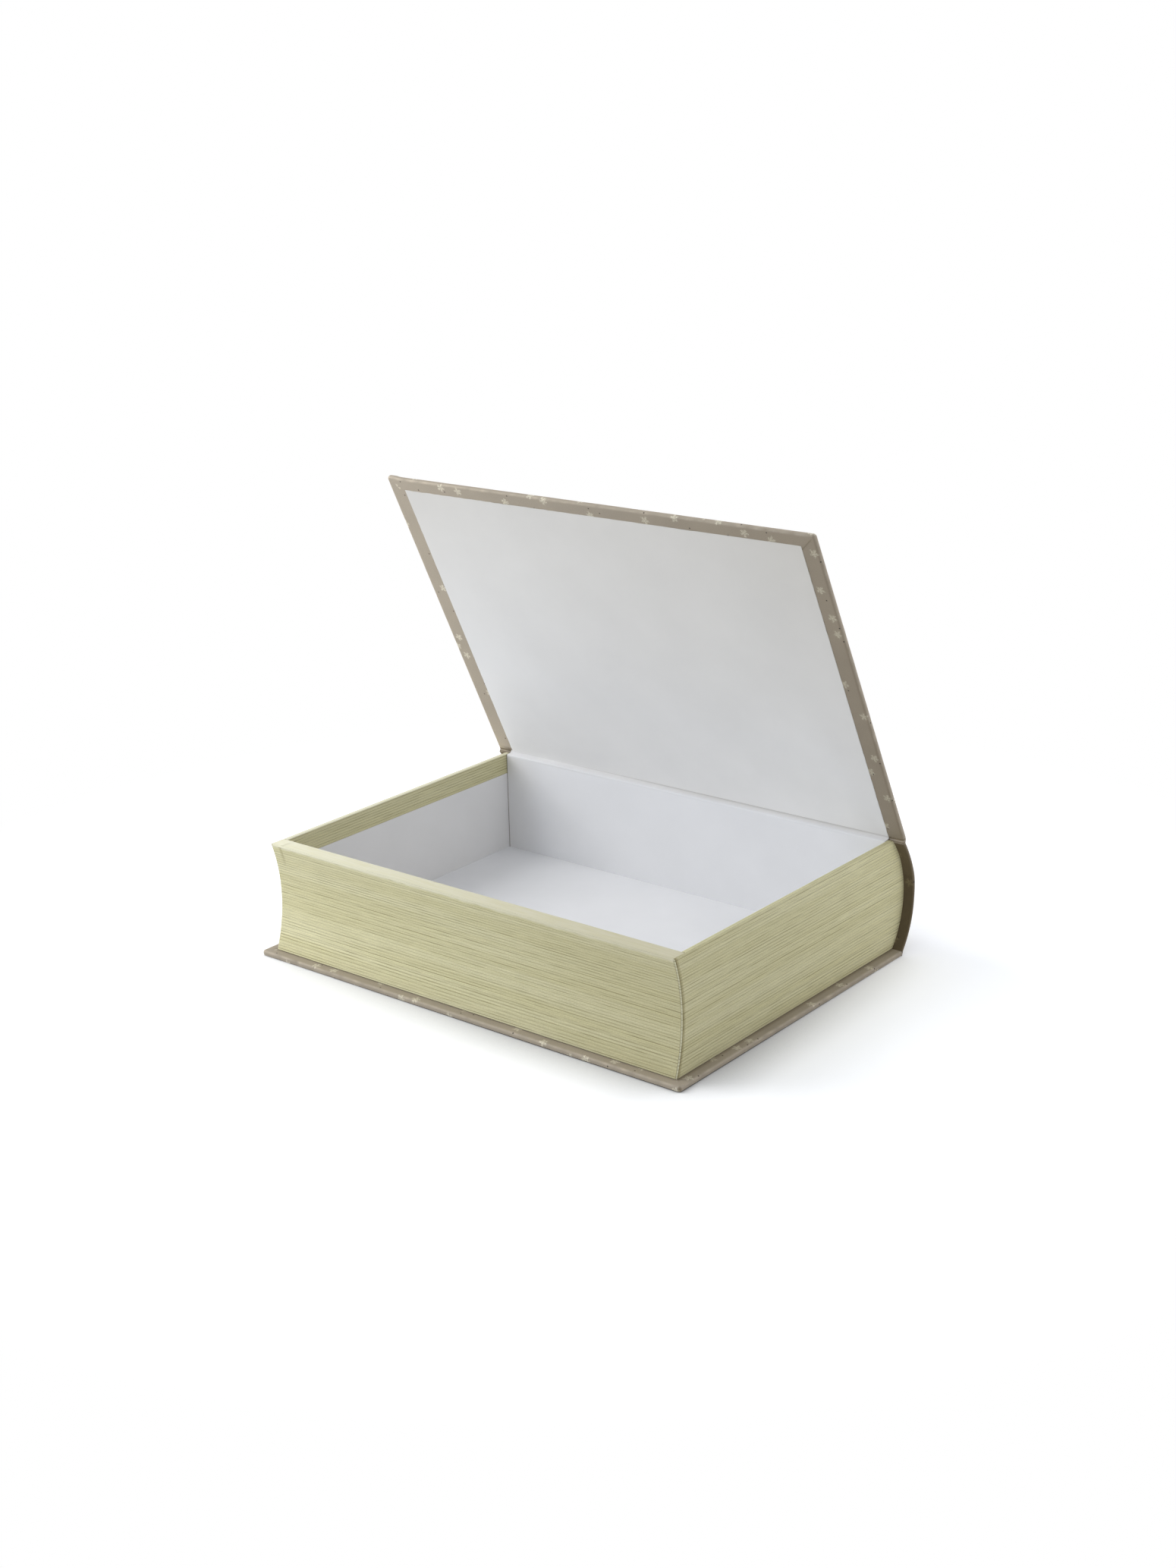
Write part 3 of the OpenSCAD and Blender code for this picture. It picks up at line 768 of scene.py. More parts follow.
def lid_cover(sizes, colours):
    """The lid's paper: it lies on the board above the lining's level."""
    depth = LID_REACH - sizes.joint_gap

    def place(x, r, n):
        """The fold stands a little proud at the left fore corner, where the paper is doubled."""
        doubled = min(near_to(x + COVER_HALF, 8 * MM) * 3, 1) * min(near_to(depth - r, 5 * MM) * 2, 1)
        return lid_place(x, r + sizes.joint_gap + 0.5 * MM * doubled, n + sizes.paper)

    def shade(x, r, inset, height, wear):
        """Rubbed folds, and painted light and shade on the margins, the right edge, the mitre and a crease.
        """
        beside = abs(x) > COVER_HALF - sizes.turn_in and depth - r > inset + 0.1 * MM and x > 0
        if height >= 0.3 * COVER_THICK:
            # Painted highlight on the face of the right edge
            return rubbed(x, r, wear) + 0.15 * beside * (height < 0.9 * COVER_THICK)
        # Painted shade in the groove where the right edge's fold begins
        if beside and 0.3 * MM < inset < 1.1 * MM:
            return -0.24
        # Painted shadow along the mitre where the margins lap, and painted shade in a crease at the left
        # margin's foot
        from_mitre = abs((COVER_HALF - x) - (depth - r))
        mitre = near_to(from_mitre, 0.5 * MM) * (inset > 1.5 * MM)
        crease = near_to(r, 2.5 * MM) * near_to(x + COVER_HALF - 8 * MM, 6 * MM)
        # Painted light: paler to the left, darker to the right, and paler still low on the left margin
        painted_light_left_foot = 0.10 * near_to(r, 30 * MM) * (x < 0)
        return rubbed(x, r, wear) - 0.17 * x / COVER_HALF + painted_light_left_foot - 0.35 * mitre - 0.7 * crease

    sheet = wrapped_board("lid_cover", sizes, COVER_HALF, depth, COVER_THICK, place, sizes.net, shade)
    outward = (0, math.sin(LID_OPEN), math.cos(LID_OPEN))
    piece = sheet.make(outward, cover_papers(colours), sizes.paper, ripple(0.10 * MM, 11 * MM, 7.7))
    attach(piece, "lid")
    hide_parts("lid_cover_paper")


def in_shadow(x, share, v):
    """Painted shade on the paper turned in at the spine's ends, in the recess beside the tray's ends; a
    little lighter above its crease.
    """
    level = -0.92 if v > SPINE_CREASE else -1.06
    return level * (1 - share) * (abs(x) > HALF - 6 * MM)


def spine_back(sizes, z):
    """The spine's outer face: its card has a crease, and bows in from there to clear the open lid."""
    proud, bow, head_gap = 0.9 * MM, 0.9 * MM, 1.85 * MM
    swell = proud * ramp(z, SPINE_CREASE - 12 * MM, SPINE_CREASE)
    if z < SPINE_CREASE:
        return spine_y(sizes, SPINE_THICK, z) + swell
    at_crease = spine_y(sizes, SPINE_THICK, SPINE_CREASE) + swell
    share = (z - SPINE_CREASE) / (SPINE_HIGH.z - SPINE_CREASE)
    straight = at_crease + share * (HINGE_LINE.y + head_gap - at_crease)
    return straight + bow * 4 * share * (1 - share)


def spine_cover(sizes, colours):
    """The spine's paper, round both ends of its card and in over the card's inner face."""
    sheet = Sheet("spine_cover")
    section = edge_section(COVER_HALF, SPINE_THICK, 0.6 * MM, sizes.turn_in, sizes.net)
    stations = []
    length = 0.0
    for z in spread(SPINE_LOW.z, SPINE_HIGH.z, 1.5 * MM):
        outer = Vector((spine_back(sizes, z), z))
        if stations:
            length += (outer - stations[-1][1]).length
        stations.append((Vector((spine_y(sizes, 0, z), z)), outer, length))
    wrapped_strip(sheet, section, stations, in_shadow)
    piece = sheet.make((0, 1, 0), cover_papers(colours), sizes.paper, ripple(0.08 * MM, 14 * MM, 5.3))
    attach(piece, "box")
    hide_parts("spine_cover_paper")


def lower_joint(sizes, colours):
    """Paper from the foot of the spine to the underside of the base, closed at both ends."""
    sheet = Sheet("lower_joint")
    foot = SPINE_LOW.z
    outer_foot = Vector((spine_y(sizes, SPINE_THICK, foot), foot))
    inner_top, under = Vector((BASE_HIGH.y, foot)), Vector((BASE_HIGH.y, 0))
    drop = (outer_foot - under).length
    stations = [(inner_top.lerp(under, t), outer_foot.lerp(under, t), -t * drop)
                for t in np.linspace(0, 1, 4)]
    section = edge_section(COVER_HALF, SPINE_THICK, 0.5 * MM, 1 * MM, sizes.net)
    ends = [s for s in section if abs(s[0]) > COVER_HALF - 1e-6 or s[1] > 0.2]
    wrapped_strip(sheet, ends, stations, in_shadow)
    piece = sheet.make((0, 1, 0), cover_papers(colours), 0.15 * MM)
    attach(piece, "box")
    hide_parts("lower_joint_paper")


def upper_joint(sizes, colours):
    """Paper from the spine's head to the lid, creased at the hinge line."""
    sheet = Sheet("upper_joint")
    head = SPINE_HIGH.z
    lid_inner = Vector(lid_place(0, sizes.joint_gap, sizes.paper)[1:])
    inner = [Vector((spine_y(sizes, 0, head), head)), Vector(HINGE_LINE[1:]), lid_inner]
    outer = [Vector((spine_back(sizes, head), head)),
             Vector((HINGE_LINE.y + 2.3 * MM, HINGE_LINE.z + 1.0 * MM)),
             Vector(lid_place(0, sizes.joint_gap, sizes.paper + COVER_THICK)[1:])]
    spine_section = edge_section(COVER_HALF, SPINE_THICK, 0.6 * MM, sizes.turn_in, sizes.net)
    lid_section = edge_section(COVER_HALF, COVER_THICK, sizes.edge_round, sizes.turn_in, sizes.net)
    row_height = 1.9 * MM
    rows = []
    for t in np.linspace(0, 2, 11):
        part = min(int(t), 1)
        here_inner = inner[part].lerp(inner[part + 1], t - part)
        here_outer = outer[part].lerp(outer[part + 1], t - part)
        crease = near_to(t - 1, 0.4)
        row = []
        for (x0, share0, u0), (x1, share1, u1) in zip(spine_section, lid_section):
            x, share, u = Vector((x0, share0, u0)).lerp(Vector((x1, share1, u1)), t / 2)
            at = here_inner.lerp(here_outer, share)
            # Painted shade on the turned-in ends, half as deep as on the spine, and a painted highlight along
            # the hinge crease
            painted_shading = in_shadow(x, share, head) * 0.5 * (1 - crease) + (0.22 - 0.14 * share) * crease
            row.append(((x, at.x, at.y), (u, t * row_height), painted_shading))
        rows.append(row)
    sheet.net(rows)
    piece = sheet.make((0, 1, 0), cover_papers(colours), sizes.paper)
    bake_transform(piece)
    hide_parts("upper_joint_paper")


# Papers of the tray


def front_sheet(sizes, colours):
    """Page-edge paper over the hollow fore edge, across the rim and down inside."""
    sheet = Sheet("front_page_edges")
    outside = [(fore_y(sizes, 0, z), z, 0) for z in np.linspace(FOOT + sizes.foot_gap, TOP, 24)[:-1]
               if z < TOP - 1.6 * sizes.fore_round]
    corners = outside + [(FORE, TOP, sizes.fore_round), (RIM_BACK, TOP, 0.5 * MM), (RIM_BACK, BAND_FOOT, 0)]
    path, lengths = rounded_path(corners, sizes.spacing)
    lip = lengths[next(i for i, p in enumerate(path) if p.y > TOP - 0.01 * MM)]
    inner_edge = lengths[next(i for i, p in enumerate(path) if p.x > RIM_BACK - 0.01 * MM)]
    wide, narrow = HALF - sizes.front_inset, END_LOW.x - sizes.paper
    creased_part = np.array([0, 1, 2, 3, 4, 5, 6, 7, 8, 10, 12, 15, 18]) * MM
    plain = narrow - creased_part[-1]
    middle = spread(-plain, plain, sizes.spacing)[1:-1]
    inner_columns = np.concatenate([creased_part - narrow, middle, narrow - creased_part[::-1]])
    between = (wide + narrow) / 2
    columns = np.concatenate([[-wide, -between], inner_columns, [between, wide]])
    rim_mark, shaded_crease = -121 * MM, -122.3 * MM
    raised_crease, second_crease = -122 * MM, -119 * MM

    def tone(x, z, above):
        """Painted light and shade: darker and browner rightwards and most over the rim, paler low on the
        left, shade in a rim pleat and a corner crease.
        """
        right, left = max(x / HALF, 0), max(-x / HALF, 0)
        if above > -1 * MM:
            marked = near_to(x - rim_mark, 1.2 * MM) * (-0.5 * MM < above < 6 * MM)
            return -0.07 * x / HALF - 0.06 * (1 + x / HALF) - 0.12 * marked
        creased = near_to(x - shaded_crease, 1.3 * MM) * ramp(z, 48 * MM, 56 * MM)
        return -0.11 * right + left * (0.07 - 0.055 * (z - MIDDLE) / (MIDDLE - FOOT)) - 0.33 * creased

    def rows(chosen, xs):
        return [[((x, path[i].x, path[i].y), (x, lengths[i] - lip), tone(x, path[i].y, lengths[i] - lip))
                 for x in xs] for i in chosen]

    ruled = [i for i, s in enumerate(lengths) if s <= lip + 1e-9]
    rim = [i for i, s in enumerate(lengths) if lip - 1e-9 <= s <= inner_edge + 1e-9]
    band = [i for i, s in enumerate(lengths) if s >= inner_edge - 1e-9]
    flat_rim = [i for i in rim if path[i].y > TOP - 0.01 * MM]
    round_rim = [i for i in rim if i >= flat_rim[-1]]
    sheet.net(rows(ruled, columns), finish=0)
    sheet.net(rows(flat_rim, columns), finish=1)
    sheet.net(rows(round_rim, inner_columns), finish=1)
    sheet.net(rows(band, inner_columns), finish=0)

    def rise(place):
        """Uneven, with short creases near the left corner where the paper was drawn round the hollow."""
        high = ramp(place.z, 50 * MM, 58 * MM)
        crease = near_to(place.x - raised_crease - 0.3 * (TOP - place.z), 1.3 * MM)
        second = near_to(place.x - second_crease, 1.2 * MM) * (place.y < FORE + 6 * MM)
        return ripple(0.10 * MM, 12 * MM, 1.9)(place) + 0.22 * MM * high * max(crease, 0.6 * second)

    piece = sheet.make((0, -1, 0), page_papers(colours, folded=False), sizes.paper, rise, rim=0)
    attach(piece, "box")
    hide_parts("front_page_edge_paper")


def side_sheet(side, name, node, sizes, colours):
    """Page-edge paper outside an end board, over its top, as a band inside, and round the fore edge."""
    sheet = Sheet(name)
    inner_face = END_LOW.x - sizes.paper
    strip = HALF - sizes.front_inset
    leaf_depth = sizes.paper
    corners = [(HALF, FOOT + sizes.foot_gap, 0), (HALF, TOP, sizes.rim_round),
               (inner_face, TOP, 0.5 * MM), (inner_face, BAND_FOOT, 0)]
    path, lengths = rounded_path(corners, 2.5 * MM)
    lip = lengths[next(i for i, p in enumerate(path) if p.y > TOP - 0.01 * MM)]
    fore_top = fore_y(sizes, leaf_depth, TOP)
    back_top = spine_y(sizes, 0, TOP)
    fold = 0.4 * MM
    near = fore_top + np.array([0.4, 1, 2.5, 5.5]) * MM
    far = np.append(spread(RIM_BACK, BACK_LOW.y, sizes.spacing), back_top)
    columns = np.concatenate([near, far])

    def lengthwise(y, z):
        """Where a column that is at y on the rim runs at height z, between the hollow and the round back."""
        front, back = fore_y(sizes, leaf_depth, z), spine_y(sizes, 0, z)
        share = (y - fore_top - fold) / (back_top - fore_top - fold)
        return front + fold + share * (back - front - fold)

    def painted_side_light(y):
        """Painted light: paler towards the back, with painted shade just round the fold and under the edge of
        the spine.
        """
        share = (y - FORE) / (BACK_LOW.y - FORE)
        beside_fold, under_spine = y < near[2] - 1e-9, y == back_top
        return 0.10 * share + 0.08 * share * share - 0.04 - 0.35 * beside_fold - 0.26 * under_spine

    # Up the outside, over the rounded top and as far in as the front paper leaves it bare
    climb = [i for i, p in enumerate(path) if p.x >= strip - 1e-9 and lengths[i] <= lip + 3 * MM]
    outer_rows = []
    for i in climb:
        x, z = path[i]
        ways = [lengthwise(y, z) for y in columns]
        outer_rows.append([((side * x, way, z), (way - fore_y(sizes, 0, z), lengths[i] - lip), painted_side_light(y))
                           for y, way in zip(columns, ways)])
    top_row = [((side * strip, y, TOP), (y - FORE, HALF - strip)) for y in columns]
    ruled_rows = [row for i, row in zip(climb, outer_rows) if lengths[i] <= lip + 1e-9]
    sheet.net(ruled_rows, finish=0)
    # The left rim is drawn plain and pale, a painted highlight, and the right one ruled
    rim_finish = 0 if side > 0 else 1
    sheet.net([ruled_rows[-1], top_row], finish=rim_finish)

    # Across the rim behind the front paper, and down inside
    inside = [i for i, p in enumerate(path) if p.x < strip and lengths[i] > lip]
    start = [((side * strip, y, TOP), (y - FORE, HALF - strip)) for y in far]
    rim_rows, band_rows = [start], []
    for i in inside:
        x, z = path[i]
        row = [((side * x, y, z), (y - FORE, lengths[i] - lip)) for y in far]
        if z > TOP - 0.45 * MM:
            rim_rows.append(row)
        if z <= TOP - 0.3 * MM:
            band_rows.append(row[:-1])
    sheet.net(rim_rows, finish=rim_finish)
    sheet.net(band_rows, finish=0)

    # Round the fold at the corner and along the fore edge, beneath the front paper
    turn = [(HALF - fold + fold * math.cos(a), fold - fold * math.sin(a))
            for a in np.linspace(0, math.pi / 2, 4)]
    leaf = [(x, 0.0) for x in (strip, HALF - 3 * MM, HALF - sizes.side_wrap)]
    fold_rows, leaf_rows = [], []
    for i in climb:
        x, z = path[i]
        up = lengths[i] - lip
        if up > 1e-9:
            continue
        front = fore_y(sizes, leaf_depth, z)
        fold_rows.append([((side * min(max(a + x - HALF, strip), x), front + b, z), (b + a - HALF, up))
                          for a, b in turn + leaf[:1]])
        if z < TOP - 0.4 * MM:
            leaf_rows.append([((side * a, front + b, z), (a - HALF, up)) for a, b in leaf])
    sheet.net(fold_rows, finish=0)
    sheet.net(leaf_rows, finish=0)
    piece = sheet.make((side, 0, 0), page_papers(colours, folded=True), sizes.paper, rim=0)
    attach(piece, "box")
    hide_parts(node)


def flat_lining(name, node, body, sizes, papers, facing, rows, uneven):
    """A lining laid on one flat face."""
    sheet = Sheet(name)
    sheet.net(rows)
    piece = sheet.make(facing, papers, sizes.paper, uneven)
    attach(piece, body)
    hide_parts(node)


def tray_linings(sizes, colours):
    """White papers on the floor and the four walls of the tray."""
    papers = lining_papers(colours)
    floor, face = FLOOR_HIGH.z, FLOOR_HIGH.x
    front, back = FLOOR_LOW.y, BACK_LOW.y - sizes.paper
    foot = FLOOR_LOW.z
    xs, ys = spread(-face, face, sizes.spacing), spread(front, back, sizes.spacing)
    flat_lining("floor_lining_paper", "floor_lining", "box", sizes, papers, (0, 0, 1),
                [[((x, y, floor), (x, y)) for x in xs] for y in ys], ripple(0.12 * MM, 35 * MM, 2.2))
    zs = spread(foot, LINING_HEAD, sizes.spacing)
    # Painted shade on the left wall's lining, none on the right's
    for side, name in ((-1, "left_lining"), (1, "right_lining")):
        flat_lining(name + "_paper", name, "box", sizes, papers, (-side, 0, 0),
                    [[((side * face, y, z), (y, z), 0.03 * (side - 1)) for y in ys] for z in zs],
                    ripple(0.10 * MM, 30 * MM, side))
    flat_lining("front_lining_paper", "front_lining", "box", sizes, papers, (0, 1, 0),
                [[((x, front, z), (x, z)) for x in xs] for z in zs], ripple(0.10 * MM, 30 * MM, 4.4))
    xs = spread(-face + sizes.lining_gap, face - 0.02 * MM, sizes.spacing)
    zs = spread(foot, TOP - HINGE_PAPER_LAP, sizes.spacing)
    # Painted light a little over the back wall, and painted shade in its left corner
    flat_lining("back_lining_paper", "back_lining", "box", sizes, papers, (0, -1, 0),
                [[((x, back, z), (x, z), 0.015 - 0.11 * near_to(x + face, 30 * MM)) for x in xs]
                 for z in zs], None)


def hinge_path(sizes, tight):
    """Across the back wall's top and up to the lid: bridging the corner at tight 0, down in it at tight 1."""
    back = BACK_LOW.y - sizes.paper
    round_top = 0.5 * MM
    edge = Vector((back + round_top, TOP))
    lid_edge = Vector(lid_place(0, sizes.joint_gap, 0)[1:])
    near = edge + Vector((2.6 + 0.8 * tight, 0.25 - 0.25 * tight)) * MM
    far = lid_edge + Vector((0.75 * tight, -1.1 - 0.45 * tight)) * MM
    path = [Vector((back, TOP - HINGE_PAPER_LAP)), Vector((back, TOP - round_top - SUPPORT))]
    for a in np.linspace(0, math.pi / 2, 5):
        path.append(edge + round_top * Vector((-math.cos(a), math.sin(a) - 1)))
    for t in np.linspace(0, 1, 11)[1:]:
        over_wall = edge * (1 - t) ** 3 + near * 3 * t * (1 - t) ** 2
        path.append(over_wall + far * 3 * t * t * (1 - t) + lid_edge * t ** 3)
    return path


def hinge_lining(sizes, colours):
    """White paper over the back wall and up to the lid."""
    lid_edge = lid_place(0, sizes.joint_gap, 0)[1:]
    sheet = Sheet("hinge_lining_paper")
    columns = []

    def painted_shading(share, along):
        """Painted shade in the fold at the lid, deepest towards the right, and a little over the whole band
        at the left.
        """
        return -(0.08 + 0.13 * share) * along ** 3 - 0.03 * (1 - share)

    for x in spread(-FLOOR_HIGH.x + sizes.lining_gap, FLOOR_HIGH.x - 0.02 * MM, sizes.spacing):
        share = ramp(x, -90 * MM, 10 * MM)
        path = hinge_path(sizes, share * share * (3 - 2 * share))
        lengths = np.cumsum([0] + [(b - a).length for a, b in zip(path, path[1:])])
        columns.append([((x, p.x, p.y), (x, s), painted_shading(share, s / lengths[-1]))
                        for p, s in zip(path, lengths)])
    sheet.net(columns)
    piece = sheet.make((0, -1, 0), lining_papers(colours), sizes.paper)
    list(lid_edge)
    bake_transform(piece)
    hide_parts("hinge_lining")


def lid_lining(sizes, colours):
    """White paper inside the lid, over the cover's margins."""
    side_margin, fore_margin, off_centre = 9.6 * MM, 6.8 * MM, 0.6 * MM
    half = COVER_HALF - side_margin
    reach = LID_REACH - fore_margin
    xs = spread(-half + off_centre, half + off_centre, 3 * MM)
    rs = spread(sizes.joint_gap, reach, 3 * MM)
    window = COVER_HALF - sizes.turn_in
    plates = [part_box(node) for node in ("left_lid_plate", "right_lid_plate")]
    discs = [(low + high) / 2 for low, high in plates]

    def drawn_down(place):
        """The lining sinks a little inside the folded-in margins and rises over the steel plates."""
        r = (place.z - HINGE_LINE.z) / math.sin(LID_OPEN)
        edge = min(window - abs(place.x), LID_REACH - sizes.turn_in - r)
        sunk = ramp(edge, 0, 2 * MM) * 0.1 * MM
        near = min((place - disc).length for disc in discs)
        risen = ramp(near, 7.6 * MM, 6.4 * MM) * 0.12 * MM
        above_foot = ramp(r, sizes.joint_gap, sizes.joint_gap + 6 * MM)
        return (risen - sunk + ripple(0.05 * MM, 40 * MM, 9.0)(place)) * above_foot

    def ragged(value, other, seed):
        """A cut edge that wanders by a tenth or two of a millimetre."""
        return value + 0.25 * MM * noise.noise(Vector((other / (3 * MM), seed, 0)))

    def painted_lining_light(x, r):
        """Painted light: darker towards the fore edge, the right and the far corners, and paler at the foot,
        right of the middle.
        """
        far, side = r / reach, x / half
        lit_foot = ramp(x, -60 * MM, 80 * MM) * ramp(x, 118 * MM, 104 * MM) * (1 - far) ** 4
        return 0.04 - 0.17 * far - 0.03 * side - 0.05 * abs(side * far) ** 3 + 0.09 * lit_foot

    rows = []
    for r in rs:
        row = []
        for x in xs:
            at_x = ragged(x, r, 1.0) if x in (xs[0], xs[-1]) else x
            at_r = ragged(r, x, 5.0) if r == rs[-1] else r
            row.append((lid_place(at_x, at_r, 0), (at_x, at_r), painted_lining_light(x, r)))
        rows.append(row)
    inward = (0, -math.sin(LID_OPEN), -math.cos(LID_OPEN))
    flat_lining("lid_lining_paper", "lid_lining", "lid", sizes, lid_lining_papers(colours), inward, rows,
                drawn_down)


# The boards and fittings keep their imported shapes


BOARDS = (
    "base_board", "spine_card", "floor_board", "left_end_board", "right_end_board", "back_wall_board",
    "fore_edge_wall_board", "fore_edge_hollow_card", "fore_edge_rim_board", "lid_board",
)
COVER_PAPERS = (
    "base_cover_paper", "spine_cover_paper", "lower_joint_paper", "upper_joint_paper", "lid_cover_paper",
)
PAGE_PAPERS = ("left_page_edge_paper", "right_page_edge_paper", "front_page_edge_paper")
LINING_PAPERS = (
    "floor_lining", "left_lining", "right_lining", "back_lining", "front_lining", "hinge_lining",
    "lid_lining",
)


def paint(node, material):
    """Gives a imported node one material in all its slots."""
    slots = frame["nodes"][node].material_slots
    for slot in slots:
        slot.material = material
    if not slots:
        frame["nodes"][node].data.materials.append(material)


def finish_boards(colours):
    """Greyboard on every board, and on each packed paper the finish of the sheet that stands for it."""
    greyboard = finish_of("pressed_greyboard", pressed_greyboard, colours)
    finishes = ((BOARDS, greyboard), (COVER_PAPERS, cover_papers(colours)[0]),
                (PAGE_PAPERS, page_papers(colours, folded=False)[0]),
                (LINING_PAPERS, lining_papers(colours)[0]))
    for nodes, finish in finishes:
        for node in nodes:
            paint(node, finish)


def finish_closure():
    """Nickel on the magnets and tin-plate on the discs that meet them."""
    for side in ("left", "right"):
        paint(side + "_rim_magnet", finish_of("plated_nickel", plated_nickel))
        paint(side + "_lid_plate", finish_of("rolled_tinplate", rolled_tinplate))


# Stage


def seen_directly(tree):
    """1 for what the camera, a reflection or clear glass sees, and 0 for light on its way to the box."""
    rays = add(tree, "LightPath").node
    seen = add(tree, "Math", {0: rays.outputs["Is Camera Ray"], 1: rays.outputs["Is Glossy Ray"]},
               operation="MAXIMUM")
    return add(tree, "Math", {0: seen, 1: rays.outputs["Is Transmission Ray"]},
               operation="MAXIMUM")


def white_floor():
    """A white sweep: to the camera it is white beyond the box's shadow, and it keeps that shadow."""
    material, tree, shader = start_material("white_studio_floor", roughness=0.9)
    place = add(tree, "TexCoord", out="Object")
    grain = add(tree, "TexNoise", {"Vector": place, "Scale": 40.0})
    tone = add(tree, "MapRange", {0: grain, 3: 0.93, 4: 0.95})
    tree.links.new(tone, shader.inputs["Base Color"])
    shader.inputs["Specular IOR Level"].default_value = 0.0
    seen = seen_directly(tree)

    # Right beside the box the floor is darker still, where neither lamp nor sky reaches
    contact = add(tree, "AmbientOcclusion", {"Distance": 0.036}, out="AO", samples=16)
    parts = add(tree, "SeparateXYZ", {0: place}).node
    in_front = add(tree, "MapRange", {0: parts.outputs[1], 1: -0.05, 2: 0.08, 3: 1.4, 4: 0.3})
    rightwards = add(tree, "MapRange", {0: parts.outputs[0], 1: -0.13, 2: 0.03, 3: 0.4, 4: 1.0})
    depth = add(tree, "Math", {0: in_front, 1: rightwards}, operation="MULTIPLY")
    contact = add(tree, "Math", {0: contact, 1: depth}, operation="POWER")
    lit_white = add(tree, "CombineColor", {0: contact, 1: contact, 2: contact})
    white = add(tree, "BsdfDiffuse", {"Color": lit_white})
    glow_part = add(tree, "Math", {0: contact, 1: 0.22}, operation="MULTIPLY")
    glow = add(tree, "Emission", {"Color": (1, 1, 1, 1), "Strength": glow_part})
    near = add(tree, "AddShader", {0: white, 1: glow})
    far = add(tree, "Emission", {"Color": (1, 1, 1, 1), "Strength": 1.0})
    distance = add(tree, "VectorMath", {0: place}, out="Value", operation="LENGTH")
    away = add(tree, "MapRange", {0: distance, 1: 0.24, 2: 0.42}, interpolation_type="SMOOTHSTEP")
    look = add(tree, "MixShader", {0: away, 1: near, 2: far})
    mixed = add(tree, "MixShader", {0: seen, 1: shader.outputs[0], 2: look})
    tree.links.new(mixed, tree.nodes["Material Output"].inputs["Surface"])
    return material


def lay_floor():
    mesh = bpy.data.meshes.new("studio_floor")
    reach = 40.0
    mesh.from_pydata([(-reach, -reach, 0), (reach, -reach, 0), (reach, reach, 0), (-reach, reach, 0)],
                     [], [(0, 1, 2, 3)])
    floor = bpy.data.objects.new("studio_floor", mesh)
    bpy.context.scene.collection.objects.link(floor)
    mesh.materials.append(white_floor())


def light_world():
    """White where the camera or a reflection sees it, and a soft overcast light on everything."""
    world = bpy.data.worlds.new("studio")
    bpy.context.scene.world = world
    world.use_nodes = True
    tree = world.node_tree
    ambient = tree.nodes["Background"]
    ambient.inputs["Color"].default_value = linear("#e8eef8")
    ambient.inputs["Strength"].default_value = 0.68
    seen = seen_directly(tree)
    white = add(tree, "Background", {"Color": (1, 1, 1, 1), "Strength": 1.0})
    mixed = add(tree, "MixShader", {0: seen, 1: ambient.outputs[0], 2: white})
    tree.links.new(mixed, tree.nodes["World Output"].inputs["Surface"])


def direction(azimuth, elevation):
    """The way out from the box at an azimuth and elevation in degrees."""
    azimuth, elevation = math.radians(azimuth), math.radians(elevation)
    return Vector((math.sin(azimuth) * math.cos(elevation), -math.cos(azimuth) * math.cos(elevation),
                   math.sin(elevation)))


def add_lamp(name, azimuth, elevation, distance, size, level, colour):
    """A round soft lamp aimed at the box; at level 1 a white card facing it there renders white."""
    data = bpy.data.lights.new(name, "AREA")
    data.shape = "DISK"
    data.size = size
    data.energy = math.pi ** 2 * distance ** 2 * level
    data.color = linear(colour)[:3]
    towards = direction(azimuth, elevation)
    lamp = bpy.data.objects.new(name, data)
    lamp.location = Vector((0, 0, 0.08)) + distance * towards
    lamp.rotation_mode = "QUATERNION"
    lamp.rotation_quaternion = (-towards).to_track_quat("-Z", "Y")
    bpy.context.scene.collection.objects.link(lamp)


def add_lamps():
    """Broad window light from the upper left and from behind, and a little from a card at the right."""
    add_lamp("window", azimuth=-66, elevation=38, distance=1.1, size=0.9, level=0.52, colour="#ffffff")
    add_lamp("low_window", azimuth=-62, elevation=14, distance=0.9, size=0.6, level=0.16, colour="#ffffff")
    add_lamp("rear_window", azimuth=180, elevation=55, distance=1.5, size=1.0, level=0.20, colour="#ffffff")
    add_lamp("card_right", azimuth=90, elevation=25, distance=1.5, size=1.0, level=0.06, colour="#ffe6ba")


def place_camera():
    """The photograph's view, fitted to the box's corners: its place, direction, roll and frame."""
    back = direction(azimuth=39.155, elevation=14.071)
    roll = math.radians(-1.471)
    frame_height, raised = 2067, 240
    data = bpy.data.cameras.new("camera")
    data.lens = 51.85
    data.sensor_width = 36
    data.shift_y = -raised / frame_height
    data.clip_start, data.clip_end = 0.05, 200
    camera = bpy.data.objects.new("camera", data)
    camera.location = (0.69053, -0.83953, 0.45855)
    camera.rotation_mode = "QUATERNION"
    camera.rotation_quaternion = (-back).to_track_quat("-Z", "Y") @ Quaternion((0, 0, 1), roll)
    bpy.context.scene.collection.objects.link(camera)
    bpy.context.scene.camera = camera


# Operators


class BOOKBOX_OT_stage(bpy.types.Operator):
    """Sets the camera, the light and the white floor"""
    bl_idname = "bookbox.stage"
    bl_label = "Stage"

    def execute(self, context):
        context.scene.view_settings.view_transform = "Standard"
        place_camera()
        light_world()
        add_lamps()
        lay_floor()
        return {"FINISHED"}


class BOOKBOX_OT_boards(bpy.types.Operator):
    """Finishes the boards and cards that the papers are glued to"""
    bl_idname = "bookbox.boards"
    bl_label = "Boards"

    def execute(self, context):
        finish_boards(context.scene.book_box_colours)
        return {"FINISHED"}


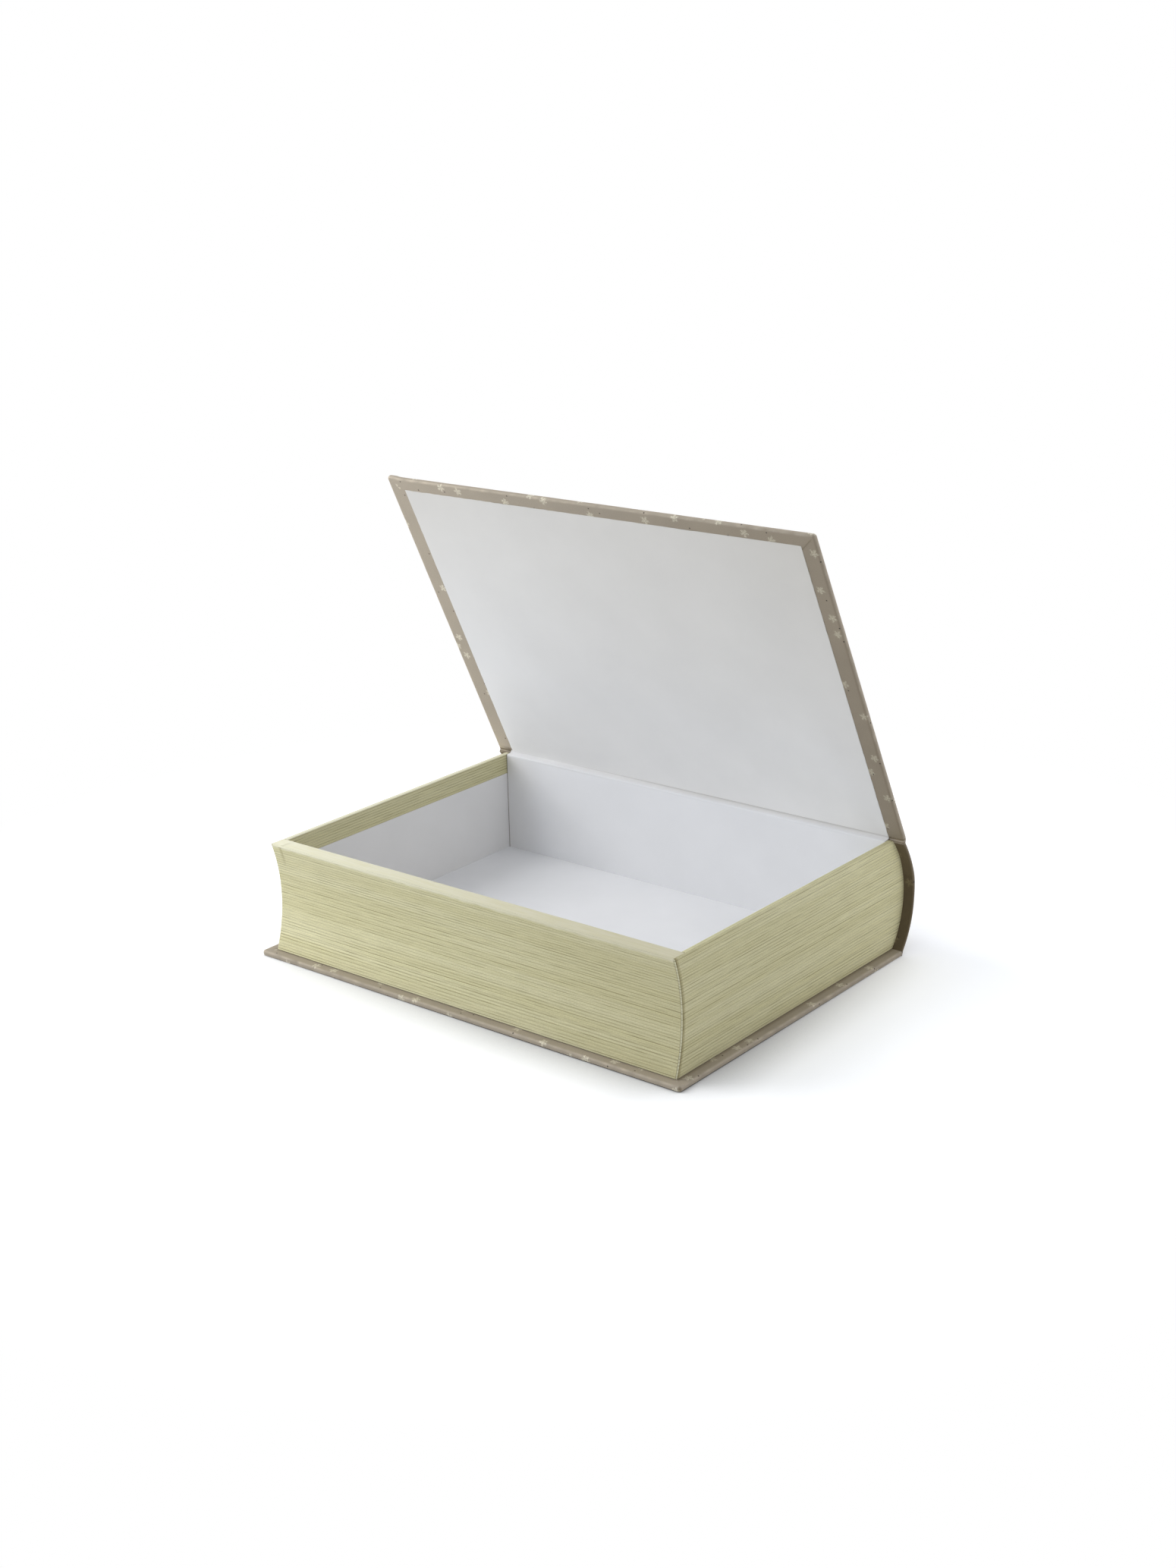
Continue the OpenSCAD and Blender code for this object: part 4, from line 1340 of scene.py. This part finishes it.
class BOOKBOX_OT_closure(bpy.types.Operator):
    """Finishes the hidden magnets and steel plates"""
    bl_idname = "bookbox.closure"
    bl_label = "Closure"

    def execute(self, context):
        finish_closure()
        return {"FINISHED"}


class BOOKBOX_OT_covers(bpy.types.Operator):
    """Wraps the base, the lid and the spine in printed paper"""
    bl_idname = "bookbox.covers"
    bl_label = "Cover papers"

    def execute(self, context):
        sizes, colours = context.scene.book_box_sizes, context.scene.book_box_colours
        base_cover(sizes, colours)
        lid_cover(sizes, colours)
        spine_cover(sizes, colours)
        return {"FINISHED"}


class BOOKBOX_OT_joints(bpy.types.Operator):
    """Joins the spine to the base and to the lid"""
    bl_idname = "bookbox.joints"
    bl_label = "Joint papers"

    def execute(self, context):
        sizes, colours = context.scene.book_box_sizes, context.scene.book_box_colours
        lower_joint(sizes, colours)
        upper_joint(sizes, colours)
        return {"FINISHED"}


class BOOKBOX_OT_page_edges(bpy.types.Operator):
    """Dresses the tray's front and sides as the edges of pages"""
    bl_idname = "bookbox.page_edges"
    bl_label = "Page-edge papers"

    def execute(self, context):
        sizes, colours = context.scene.book_box_sizes, context.scene.book_box_colours
        front_sheet(sizes, colours)
        side_sheet(-1, "left_page_edges", "left_page_edge_paper", sizes, colours)
        side_sheet(1, "right_page_edges", "right_page_edge_paper", sizes, colours)
        return {"FINISHED"}


class BOOKBOX_OT_linings(bpy.types.Operator):
    """Lines the tray, the hinge and the lid with white paper"""
    bl_idname = "bookbox.linings"
    bl_label = "Linings"

    def execute(self, context):
        sizes, colours = context.scene.book_box_sizes, context.scene.book_box_colours
        tray_linings(sizes, colours)
        hinge_lining(sizes, colours)
        lid_lining(sizes, colours)
        return {"FINISHED"}


STEPS = (
    BOOKBOX_OT_stage, BOOKBOX_OT_boards, BOOKBOX_OT_closure, BOOKBOX_OT_covers,
    BOOKBOX_OT_joints, BOOKBOX_OT_page_edges, BOOKBOX_OT_linings,
)


class BOOKBOX_PT_panel(bpy.types.Panel):
    """The box's pieces, its sizes and its colours"""
    bl_idname = "BOOKBOX_PT_panel"
    bl_label = "Book box"
    bl_space_type = "VIEW_3D"
    bl_region_type = "UI"
    bl_category = "Book box"

    def draw(self, context):
        for step in STEPS:
            self.layout.operator(step.bl_idname)
        for group in (context.scene.book_box_sizes, context.scene.book_box_colours):
            box = self.layout.box()
            for name in group.bl_rna.properties.keys():
                if name not in ("rna_type", "name"):
                    box.prop(group, name)


CLASSES = (BookBoxSizes, BookBoxColours, *STEPS, BOOKBOX_PT_panel)


def register():
    for kind in CLASSES:
        bpy.utils.register_class(kind)
    bpy.types.Scene.book_box_sizes = bpy.props.PointerProperty(type=BookBoxSizes)
    bpy.types.Scene.book_box_colours = bpy.props.PointerProperty(type=BookBoxColours)


def unregister():
    del bpy.types.Scene.book_box_sizes
    del bpy.types.Scene.book_box_colours
    for kind in reversed(CLASSES):
        bpy.utils.unregister_class(kind)


def main():
    register()
    for step in STEPS:
        family, name = step.bl_idname.split(".")
        getattr(getattr(bpy.ops, family), name)()


if __name__ == "__main__":
    main()
